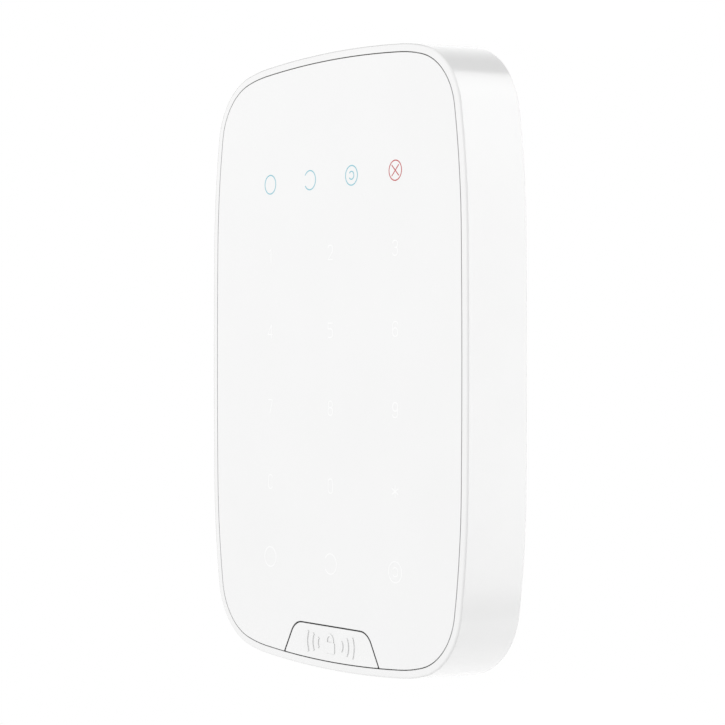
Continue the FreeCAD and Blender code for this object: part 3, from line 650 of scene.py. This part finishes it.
def cell_case(button_up):
    """Battery cell: graphite sleeve, a copper-coloured band by its button, steel ends."""
    finish = Finish("cell_case_up" if button_up else "cell_case_down", grey(0.03), 0.3, IOR=1.5)
    height = finish.generated(2)
    height = height if button_up else finish.math("SUBTRACT", 1.0, height)
    steel, sleeve, copper = (0.62, 0.61, 0.58), (0.022, 0.023, 0.026), (0.62, 0.3, 0.13)
    bands = finish.ramp(height, (0.0, steel), (0.012, sleeve), (0.7, copper), (0.955, steel),
                        hard=True)
    worn = finish.ramp(finish.noise(2, 4, (1, 1, 3)), (0.3, grey(0.9)), (0.7, grey(1.0)))
    shade = finish.node("ShaderNodeMix", data_type="RGBA", blend_type="MULTIPLY")
    shade.inputs["Factor"].default_value = 1.0
    finish.join(bands, shade.inputs[6])
    finish.join(worn, shade.inputs[7])
    finish.set("Base Color", shade.outputs[2])
    finish.set("Metallic", finish.ramp(height, (0.0, grey(1)), (0.012, grey(0)), (0.7, grey(0.8)),
                                       (0.955, grey(1)), hard=True))
    finish.polish(finish.noise(0.8, 3), 0.24, 0.34)
    return finish.material


def grey_button():
    """Soft-touch grey rubber."""
    finish = Finish("grey_button", grey(0.22), 0.55, IOR=1.5)
    finish.mottle(0.5, grey(0.2), grey(0.24), 3)
    finish.relief(finish.noise(0.15, 2), 0.006)
    return finish.material


def label_film():
    """Blank silvery film with a thin printed frame."""
    finish = Finish("label_film", grey(0.6), 0.35, IOR=1.5, Metallic=0.35)
    low, high = span("rating_label")
    x, _, z = finish.millimetres()
    reach_x = finish.math("ABSOLUTE", finish.math("SUBTRACT", x, (low.x + high.x) / 2))
    reach_z = finish.math("ABSOLUTE", finish.math("SUBTRACT", z, (low.z + high.z) / 2))
    edge = finish.math("MAXIMUM", finish.math("SUBTRACT", reach_x, (high.x - low.x) / 2),
                       finish.math("SUBTRACT", reach_z, (high.z - low.z) / 2))
    film = finish.ramp(finish.noise(0.4, 3, (6, 1, 1)), (0.3, grey(0.56)), (0.7, grey(0.64)))
    frame_line = finish.math("COMPARE", edge, -1.1, 0.13)
    finish.set("Base Color", finish.mix(frame_line, film, grey(0.15)))
    finish.polish(finish.noise(1.5, 2), 0.3, 0.4)
    return finish.material


# ---- Casing ----

def rounded_profile(corners):
    """Strips (point, normal, point, normal) of a closed profile of (inset, depth, radius)."""
    places = [Vector(corner[:2]) for corner in corners]
    chain = []
    for index, corner in enumerate(places):
        radius = corners[index][2]
        back = (places[index - 1] - corner).normalized()
        ahead = (places[(index + 1) % len(places)] - corner).normalized()
        enter = Vector((back.y, -back.x))
        leave = Vector((-ahead.y, ahead.x))
        setback = radius * math.tan(enter.angle(leave) / 2)
        centre = corner + back * setback - enter * radius
        steps = EDGE_STEPS if radius else 1
        for step in range(steps):
            normals = [enter.slerp(leave, (step + i) / steps) for i in (0, 1)]
            chain.append((centre + normals[0] * radius, normals[0],
                          centre + normals[1] * radius, normals[1]))
    strips = []
    for index, link in enumerate(chain):
        after = chain[(index + 1) % len(chain)]
        strips += [link, (link[2], link[3], after[0], after[1])]
    return [strip for strip in strips if (strip[0] - strip[2]).length > 1e-9]


def sweep_round_body(surface, corners):
    """Carries a closed profile of insets and depths round the housing's outline."""
    for start, start_normal, end, end_normal in rounded_profile(corners):
        rows, normals = [], []
        for place, normal in ((start, start_normal), (end, end_normal)):
            outline = body_outline(place.x)
            rows.append(row(outline, place.y))
            normals.append([(-normal.x * nx, -normal.y, -normal.x * nz)
                            for x, z, nx, nz in outline])
        surface.strip(*rows, *normals)


def make_housing(material):
    surface = Surface()
    front_inset = (FRONT - REAR) * math.tan(DRAFT)
    ledge_rear = LEDGE_FRONT - LEDGE_THICK
    sweep_round_body(surface, [
        (-REAR_FLARE, REAR, REAR_EDGE),
        (front_inset, FRONT, FRONT_EDGE),
        (OPENING_INSET, FRONT, OPENING_EDGE),
        (OPENING_INSET, LEDGE_FRONT, 0),
        (LEDGE_INSET, LEDGE_FRONT, 0),
        (LEDGE_INSET, ledge_rear, 0),
        (CAVITY_INSET, ledge_rear, 0),
        (CAVITY_INSET, REAR, 0),
    ])
    # Screw bosses under the ledge, each with a pilot hole and a rib to the corner
    boss_front = ledge_rear + OVERLAP
    near, far = RIB_REACH - RIB_HALF, RIB_REACH + RIB_HALF
    rib = [(RIB_HALF, -RIB_HALF), (far, near), (near, far), (-RIB_HALF, RIB_HALF)]
    for side in (-1, 1):
        for end in (-1, 1):
            x, z = BOSS_X * side, BOSS_Z * end
            surface.lathe(x, z, [(BOSS_PILOT, BOSS_REAR), (BOSS_RADIUS, BOSS_REAR),
                                 (BOSS_RADIUS, boss_front), (0, boss_front),
                                 (0, BOSS_PILOT_END), (BOSS_PILOT, BOSS_PILOT_END)])
            corners = [(x + u * side, z + v * end, 0) for u, v in rib]
            corners = corners if side * end > 0 else corners[::-1]
            surface.plate(rounded_path(corners), RIB_REAR, ledge_rear + OVERLAP / 2)
    surface.piece("housing_shell", material, replaces=["housing"])


# ---- Front panel and badge ----

def badge_foot(growth, inset):
    """Where the badge's right side meets the panel's bottom arc."""
    x = BADGE_TOP_HALF
    for _ in range(12):  # settles to well under a micron
        z = bottom_edge(x, inset)
        x = BADGE_TOP_HALF + growth + (BADGE_TOP + growth - z) * BADGE_SLOPE
    return x, z


def badge_sides(growth, inset):
    """Corners of the badge from its right foot over the top to its left foot."""
    foot_x, foot_z = badge_foot(growth, inset)
    top_x, top_z = BADGE_TOP_HALF + growth, BADGE_TOP + growth
    radius = BADGE_CORNER + growth
    return [(foot_x, foot_z, 0), (top_x, top_z, radius),
            (-top_x, top_z, radius), (-foot_x, foot_z, 0)]


def bottom_run(reach, inset, steps=24):
    """Points of the bottom arc from left to right, between the badge's feet."""
    xs = [reach * (2 * step / steps - 1) for step in range(steps + 1)]
    return [(x, bottom_edge(x, inset), 0) for x in xs]


def make_panel(material):
    surface = Surface()
    foot_x = badge_foot(BADGE_GAP, PANEL_INSET)[0]
    outline = [(x, z, 0) for x, z, nx, nz in body_outline(PANEL_INSET)
               if z > 0 or abs(x) > foot_x + 0.1]
    right_foot, *notch, left_foot = badge_sides(BADGE_GAP, PANEL_INSET)
    edge = [right_foot] + outline + [left_foot]
    whole = rounded_path(edge + notch[::-1])
    outer = whole[:len(edge)]
    inner = whole[len(edge) - 1:] + whole[:1]
    bottom = rounded_path(bottom_run(foot_x, PANEL_INSET), closed=False)
    levels = (PANEL_REAR, RECESS_FLOOR, FRONT - PANEL_EDGE)
    for low, high in zip(levels, levels[1:]):
        surface.strip(row(outer, low), row(outer, high),
                      leaning(outer, 0), leaning(outer, 0), False)
    surface.strip(row(inner, levels[1]), row(inner, levels[2]),
                  leaning(inner, 0), leaning(inner, 0), False)
    surface.strip(row(bottom, levels[0]), row(bottom, levels[1]),
                  leaning(bottom, 0), leaning(bottom, 0), False)
    surface.cap(row(outer + bottom[1:-1], PANEL_REAR)[::-1], BACKWARDS)
    surface.cap(row(bottom + inner[1:-1][::-1], RECESS_FLOOR), FORWARDS)
    surface.rim(whole, FRONT, PANEL_EDGE)
    # Posts through the board, each with a pilot hole for its screw
    post_rear, post_front = panel_low.y, PANEL_REAR + OVERLAP
    pilot_end = post_rear + POST_PILOT_DEPTH
    for x, z in POSTS:
        for side in (-1, 1):
            surface.lathe(x * side, z, [(POST_PILOT, post_rear), (POST_RADIUS, post_rear),
                                        (POST_RADIUS, post_front), (0, post_front),
                                        (0, pilot_end), (POST_PILOT, pilot_end)])
    surface.piece("panel_face", material, replaces=["touch_panel"])


def make_badge(material):
    surface = Surface()
    foot_x = badge_foot(0, PANEL_INSET)[0]
    corners = bottom_run(foot_x, PANEL_INSET)
    corners[0] = (*corners[0][:2], BADGE_FOOT_CORNER)
    corners[-1] = (*corners[-1][:2], BADGE_FOOT_CORNER)
    surface.plate(rounded_path(corners + badge_sides(0, PANEL_INSET)[1:-1]),
                  BADGE_REAR, FRONT, BADGE_EDGE)
    surface.piece("badge_face", material, replaces=["badge_plate"])


def make_badge_gap_shade(material):
    """Painted shade: a dark strip in the gap round the badge, almost to the front, as its shadow
    line.
    """
    surface = Surface()
    rings = []
    for growth in (BADGE_GAP - 0.02, 0.01):
        inset = PANEL_INSET - min(growth, PANEL_GAP - 0.01)
        foot_x = badge_foot(growth, inset)[0]
        rings.append(rounded_path(bottom_run(foot_x, inset) + badge_sides(growth, inset)[1:-1]))
    outer, inner = rings
    inner = [(x, z, -nx, -nz) for x, z, nx, nz in inner]
    rear, front = RECESS_FLOOR + 0.01, GAP_SHADE_FRONT
    count = len(outer)
    for first, second, normals in (
            (row(outer, rear), row(outer, front), (leaning(outer, 0),) * 2),
            (row(outer, front), row(inner, front), ([FORWARDS] * count,) * 2),
            (row(inner, front), row(inner, rear), (leaning(inner, 0),) * 2),
            (row(inner, rear), row(outer, rear), ([BACKWARDS] * count,) * 2)):
        surface.strip(first, second, *normals)
    surface.piece("badge_gap_shade", material)


def box_path(x0, z0, x1, z1, radius=0.0):
    """A rectangle, anticlockwise, with rounded corners."""
    x0, x1 = sorted((x0, x1))
    z0, z1 = sorted((z0, z1))
    return rounded_path([(x0, z0, radius), (x1, z0, radius), (x1, z1, radius), (x0, z1, radius)])


def make_emblem(material):
    """A raised padlock with signal arcs on both sides, in the middle of the badge."""
    surface = Surface()
    z = EMBLEM_Z
    surface.plate(box_path(-1.9, z - 2.2, 1.9, z + 0.5, 0.5), EMBLEM_ROOT, EMBLEM_PROUD, rim=0.06)
    shackle = [(1.2, z + 0.3, 0), (1.2, z + 2.2, 1.15), (-1.2, z + 2.2, 1.15), (-1.2, z + 0.3, 0)]
    surface.ribbon(rounded_path(shackle, closed=False), 0.5, EMBLEM_ROOT, EMBLEM_PROUD - 0.02)
    for middle, side in ((0, 1), (180, -1)):
        for radius, spread in ((1.7, 44), (3.9, 32), (6.1, 24)):
            arc = arc_path(radius, middle - spread, middle + spread, spread / 6)
            surface.ribbon([(x + 3.3 * side, z + v, nx, nz) for x, v, nx, nz in arc],
                           0.55, EMBLEM_ROOT, EMBLEM_PROUD)
    surface.piece("badge_emblem", material)


# ---- Printed symbols: each stroke is a list of (x, z, corner radius) about the symbol's centre ----

W, H = 0.9, 1.72  # half a digit's width and height
T = H - 0.65  # where an open stroke stops, above or below the middle
M = 0.12  # the waist of a 3 and an 8
DIGITS = {
    "0": [("loop", [(-W, -H, 0.8), (W, -H, 0.8), (W, H, 0.8), (-W, H, 0.8)])],
    "1": [("line", [(-0.55, 1.3, 0), (0.3, H, 0), (0.3, -H, 0)])],
    "2": [("line", [(-W, T, 0), (-W, H, 0.6), (W, H, 0.8), (W, 0.25, 0.6), (-W, -H, 0),
                    (W, -H, 0)])],
    "3": [("line", [(-W, T, 0), (-W, H, 0.6), (W, H, 0.75), (W, M, 0.75), (-0.2, M, 0)]),
          ("line", [(-0.2, M, 0), (W, M, 0.75), (W, -H, 0.8), (-W, -H, 0.6), (-W, -T, 0)])],
    "4": [("line", [(0.45, H, 0), (-1.0, -0.75, 0), (1.0, -0.75, 0)]),
          ("line", [(0.45, H, 0), (0.45, -H, 0)])],
    "5": [("line", [(W, H, 0), (-W, H, 0), (-W, 0.35, 0), (W, 0.35, 0.8), (W, -H, 0.8),
                    (-W, -H, 0)])],
    "6": [("loop", [(-W, -H, 0.8), (W, -H, 0.8), (W, 0.25, 0.8), (-W, 0.25, 0.8)]),
          ("line", [(-W, -0.8, 0), (-W, H, 0.8), (W, H, 0.6), (W, T, 0)])],
    "7": [("line", [(-W, H, 0), (W, H, 0.3), (-0.2, -H, 0)])],
    "8": [("loop", [(-W, -H, 0.8), (W, -H, 0.8), (W, M, 0.8), (-W, M, 0.8)]),
          ("loop", [(-0.8, M, 0.7), (0.8, M, 0.7), (0.8, H, 0.7), (-0.8, H, 0.7)])],
    "9": [("loop", [(-W, -0.25, 0.8), (W, -0.25, 0.8), (W, H, 0.8), (-W, H, 0.8)]),
          ("line", [(W, 0.8, 0), (W, -H, 0.8), (-W, -H, 0.6), (-W, -T, 0)])],
    "clear": [("line", [(0.8, T, 0), (0.8, H, 0.6), (-0.8, H, 0.7), (-0.8, -H, 0.7),
                        (0.8, -H, 0.6), (0.8, -T, 0)])],
}


def arm(length, degrees, middle=0.0):
    """A straight stroke through a middle on the symbol's upright axis."""
    x = length / 2 * math.cos(math.radians(degrees))
    z = length / 2 * math.sin(math.radians(degrees))
    return ("line", [(-x, middle - z, 0), (x, middle + z, 0)])


def arc_path(radius, start, end, step=9):
    """Points and outward normals of an arc between two angles in degrees."""
    count = round((end - start) / step)
    turns = [math.radians(start + (end - start) * i / count) for i in range(count + 1)]
    return [(radius * math.cos(a), radius * math.sin(a), math.cos(a), math.sin(a)) for a in turns]


def ring_strokes(radius, core_radius):
    """A ring, a ring that is open on its left, and a smaller open one for a ring's middle."""
    return (("ring", arc_path(radius, 0, 360)),
            ("arc", arc_path(radius, -RING_OPEN, RING_OPEN)),
            ("arc", arc_path(core_radius, -RING_OPEN, RING_OPEN)))


def make_symbol(name, x, z, strokes, width, material):
    """One printed symbol; overlapping strokes differ a little in height."""
    surface = Surface()
    for index, (kind, points) in enumerate(strokes):
        if kind == "arc":
            path, closed = points, False
        elif kind == "ring":
            path, closed = points[:-1], True
        else:
            closed = kind == "loop"
            path = rounded_path(points, closed, math.radians(12))
        moved = [(x + PRINT_SHIFT + u, z + v, nu, nv) for u, v, nu, nv in path]
        step = PRINT_STEP * index
        surface.ribbon(moved, width, FRONT - PRINT_HEIGHT - step, FRONT + PRINT_HEIGHT + step,
                       closed)
    surface.piece(name, material)


def make_key_symbols(material):
    star = [arm(2.9, degrees, -0.1) for degrees in (30, 90, 150)]
    ring, open_ring, core = ring_strokes(2.45, 1.05)
    symbols = [(name, DIGITS[name]) for name in (*"123456789", "clear", "0")]
    symbols.append(("star", star))
    symbols += [("arm", [ring]), ("disarm", [open_ring]), ("night", [ring, core])]
    for index, (name, strokes) in enumerate(symbols):
        line, column = divmod(index, 3)
        make_symbol(f"key_print_{name}", KEY_PITCH_X * (column - 1), KEY_TOP - KEY_PITCH_Z * line,
                    strokes, KEY_STROKE, material)


def make_status_symbols(blue, red):
    ring, open_ring, core = ring_strokes(2.34, 0.95)
    cross = [arm(3.7, 44), arm(3.7, 136)]
    symbols = [("armed", [ring], blue), ("disarmed", [open_ring], blue),
               ("night", [ring, core], blue), ("fault", [ring] + cross, red)]
    for index, (name, strokes, ink) in enumerate(symbols):
        make_symbol(f"status_print_{name}", ICON_PITCH * (index - 1.5), ICON_Z, strokes,
                    ICON_STROKE, ink)


# ---- Studio ----

CAMERA_PLACE = Vector((410.906, -321.754, -0.47))
CAMERA_TARGET = Vector((12.926, -17.414, -0.356))
CAMERA_LENS = 105.36
CAMERA_SENSOR = 36.0

LAMP_PLACE = Vector((-0.1, -0.95, 0.2))
LAMP_SIZE = 0.6
LAMP_ENERGY = 6.2

FLOOR_RADIUS = 0.5
FLOOR_DROP = 0.9

# The softbox's brightness, by degrees round the depth axis from +X towards the top. Its light is the
# level less SOFTBOX_SHADE, so a level under that takes light away, which shades the keypad's top.
SOFTBOX_LEVELS = (
    (-168, 0.09), (-160, 0.13), (-149, 0.19), (-127, 0.285), (-119, 0.35), (-107, 0.385),
    (-84, 0.47), (-65, 0.465), (-50, 0.49), (-40, 0.515), (-31, 0.515), (-26, 0.43),
    (-23.7, 0.35), (-21.5, 0.69), (-15, 0.74), (-7, 0.81), (10, 0.87), (25, 0.93),
    (50, 0.92), (60, 0.825), (70, 0.675), (75, 0.505), (81, 0.03), (84, 0.0),
    (103, 0.0), (119, 0.12), (130, 0.17), (150, 0.19), (160, 0.13), (168, 0.09))
SOFTBOX_SHADE = 0.09
SOFTBOX_PEAK = 3.18
SOFTBOX_NEAR = (0.4, 0.55)  # the two edges behind the keypad's plane, each from none to full
SOFTBOX_FAR = (0.72, 0.65)

# A grey card on the keypad's left, above its middle. From the photo's side it shows only as a
# darker line in the rounded edges of the rim.
CARD_EDGE = (-0.4, -0.6)
CARD_SIDES = (0.4, 0.28)
CARD_FOOT = (-0.3, 0.0)
CARD_SHADE = 0.9


def make_camera():
    """Level with the keypad, 53 degrees round to its right, through a long lens."""
    data = bpy.data.cameras.new("camera")
    data.lens = CAMERA_LENS
    data.sensor_width = CAMERA_SENSOR
    data.clip_start = 0.01
    data.clip_end = 50.0
    camera = bpy.data.objects.new("camera", data)
    scene.collection.objects.link(camera)
    camera.location = CAMERA_PLACE * MM
    aim = CAMERA_TARGET * MM - camera.location
    camera.rotation_euler = aim.to_track_quat("-Z", "Y").to_euler()
    scene.camera = camera


def make_world():
    """Even white light, with a curved softbox behind the keypad and a grey card beside it."""
    world = bpy.data.worlds.new("studio")
    scene.world = world
    world.use_nodes = True
    graph = Graph(world.node_tree)
    background = world.node_tree.nodes["Background"]
    background.inputs["Color"].default_value = (1, 1, 1, 1)
    x, y, z = graph.split(graph.node("ShaderNodeTexCoord").outputs["Generated"])
    roll = graph.remap(graph.math("ARCTAN2", z, x), -math.pi, math.pi)
    stops = [((degrees + 180) / 360, grey(level)) for degrees, level in SOFTBOX_LEVELS]
    along = graph.ramp(roll, *stops)
    across = graph.math("MULTIPLY", graph.remap(y, *SOFTBOX_NEAR, smooth=True),
                        graph.remap(y, *SOFTBOX_FAR, smooth=True))
    above_base = graph.math("SUBTRACT", along, SOFTBOX_SHADE)
    light = graph.math("MULTIPLY", graph.math("MULTIPLY", above_base, across), SOFTBOX_PEAK)
    card = graph.math("MULTIPLY", graph.remap(x, *CARD_EDGE, smooth=True),
                      graph.remap(graph.math("ABSOLUTE", y), *CARD_SIDES, smooth=True))
    card = graph.math("MULTIPLY", card, graph.remap(z, *CARD_FOOT, smooth=True))
    shade = graph.math("MULTIPLY", card, CARD_SHADE)
    strength = graph.math("SUBTRACT", graph.math("ADD", light, 1.0), shade)
    graph.join(strength, background.inputs["Strength"])
    scene.view_settings.view_transform = "Standard"


def make_key_light():
    """A soft round lamp in front, a little above and to the left."""
    data = bpy.data.lights.new("key_light", "AREA")
    data.shape = "DISK"
    data.size = LAMP_SIZE
    data.energy = LAMP_ENERGY
    lamp = bpy.data.objects.new("key_light", data)
    scene.collection.objects.link(lamp)
    lamp.location = LAMP_PLACE
    lamp.rotation_euler = (-LAMP_PLACE).to_track_quat("-Z", "Y").to_euler()
    lamp.visible_camera = False
    lamp.visible_glossy = False


def make_floor():
    """A wide pale disc, well below the keypad."""
    finish = Finish("floor", grey(0.97), 0.9)
    finish.mottle(300, grey(0.965), grey(0.975))
    mesh = bpy.data.meshes.new("floor")
    shape = bmesh.new()
    bmesh.ops.create_circle(shape, cap_ends=True, segments=128, radius=FLOOR_RADIUS)
    shape.to_mesh(mesh)
    shape.free()
    mesh.materials.append(finish.material)
    floor = bpy.data.objects.new("floor", mesh)
    scene.collection.objects.link(floor)
    floor.location.z = -FLOOR_DROP


# ---- Springs ----

def helix(surface, place, start, end, radii, wire, turns, dead):
    """A coil of wire of a radius, closed for so many dead turns at each end.

    place(x, y, along) turns the coil's own coordinates into the object's.
    """
    steps = round(turns * 24)
    pitch = 2 * wire
    rise = (abs(end - start) - 2 * dead * pitch) / (turns - 2 * dead)
    points = []
    for step in range(steps + 1):
        turn = turns * step / steps
        along = pitch * min(turn, dead) + rise * min(max(turn - dead, 0), turns - 2 * dead)
        along += pitch * max(turn - turns + dead, 0)
        along *= 1 if end > start else -1
        radius = radii[0] + (radii[1] - radii[0]) * step / steps
        angle = 2 * math.pi * turn
        points.append(place(radius * math.cos(angle), radius * math.sin(angle), start + along))
    surface.tube(points, wire)


def make_tamper_coil(material):
    surface = Surface()
    low, high = span("tamper_spring")
    wire = 0.2
    z = (low.z + high.z) / 2
    helix(surface, lambda u, v, along: (u, -along, z + v), low.y + wire, high.y - wire,
          (high.x - wire, high.x - wire), wire, 5.5, 1)
    coil = surface.piece("tamper_coil", material, None, ["tamper_spring"])
    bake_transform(coil)


def make_contact_coils(material):
    """A conical coil on a plate with a tail to the board, at the flat end of each cell."""
    wire = 0.3
    coil_radii = (2.9, 1.65)
    thick = 0.4
    tail_rear = 11.0
    tail_reach = 3.3
    tail_width = 2.0
    for level in ("lower", "upper"):
        for side_name, side in (("left", -1), ("right", 1)):
            node = f"battery_spring_{level}_{side_name}"
            low, high = span(node)
            cell_low, cell_high = span(f"battery_{level}_{side_name}")
            x = (cell_low.x + cell_high.x) / 2
            depth = (cell_low.y + cell_high.y) / 2
            wall, tip = (low.z, high.z) if side > 0 else (high.z, low.z)
            outer, tail = (high.x, low.x) if side > 0 else (low.x, high.x)
            inner = tail + tail_reach * side
            surface = Surface()
            surface.plate(box_path(inner, wall, outer, wall + thick * side), low.y, high.y)
            surface.plate(box_path(tail, wall, inner + thick * side, wall + tail_width * side),
                          tail_rear, tail_rear + thick)
            helix(surface, lambda u, v, along: (x + u, -depth + v, along),
                  wall + (thick + wire) * side, tip - wire * side, coil_radii, wire, 3.5, 0.6)
            surface.piece(f"contact_coil_{level}_{side_name}", material,
                          replaces=[node])


# ---- Making everything ----

make_camera()
make_world()
make_key_light()
make_floor()

gloss_white = white_moulding()
matt_white = white_moulding("white_moulding_matt", 0.42, 0.006, 0.18)
panel_white = front_panel()
badge_white = badge()
spring_steel = sheet_metal("spring_steel", (0.5, 0.49, 0.46), (0.66, 0.65, 0.61), 0.2, 0.32,
                           (1, 1, 6))
foam = bonding_foam()
finishes = {
    "white_moulding": matt_white,
    "front_panel": panel_white,
    "badge": badge_white,
    "bonding_foam": foam,
    "sensor_film": sensor_film(),
    "diffuser": diffuser(),
    "baffle": baffle(),
    "circuit_board": circuit_board(),
    "black_component": black_component(),
    "led_case": led_case(),
    "tinned_steel": sheet_metal("tinned_steel", (0.6, 0.59, 0.56), (0.74, 0.73, 0.7),
                                0.24, 0.4, (8, 1, 1)),
    "screw_steel": sheet_metal("screw_steel", (0.42, 0.42, 0.43), (0.56, 0.56, 0.57),
                               0.26, 0.38, (1, 6, 1)),
    "capacitor_can": capacitor_can(),
    "spring_steel": spring_steel,
    "grey_button": grey_button(),
    "label_film": label_film(),
}
cells = {side: cell_case(side == "right") for side in ("left", "right")}
for name, node in nodes.items():
    slot = node.data.materials[0].name
    finish = cells[name.rsplit("_", 1)[1]] if slot == "cell_case" else finishes[slot]
    node.material_slots[0].material = finish
for name, width in (("mounting_bracket", 0.2), ("rear_cover", 0.15)):
    bevel = nodes[name].modifiers.new("soft_edges", "BEVEL")
    bevel.width = width * MM
    bevel.segments = 2
    bevel.limit_method = "ANGLE"
    bevel.angle_limit = math.radians(50)
    bevel.harden_normals = True

make_housing(gloss_white)
make_panel(panel_white)
make_badge(badge_white)
# a dark strip of painted shade in the gap round the badge
make_badge_gap_shade(foam)
make_emblem(badge_white)
make_key_symbols(print_ink("key_ink", grey(0.65)))
make_status_symbols(print_ink("blue_ink", (0.17, 0.38, 0.44)),
                    print_ink("red_ink", (0.38, 0.08, 0.08)))
make_tamper_coil(spring_steel)
make_contact_coils(spring_steel)
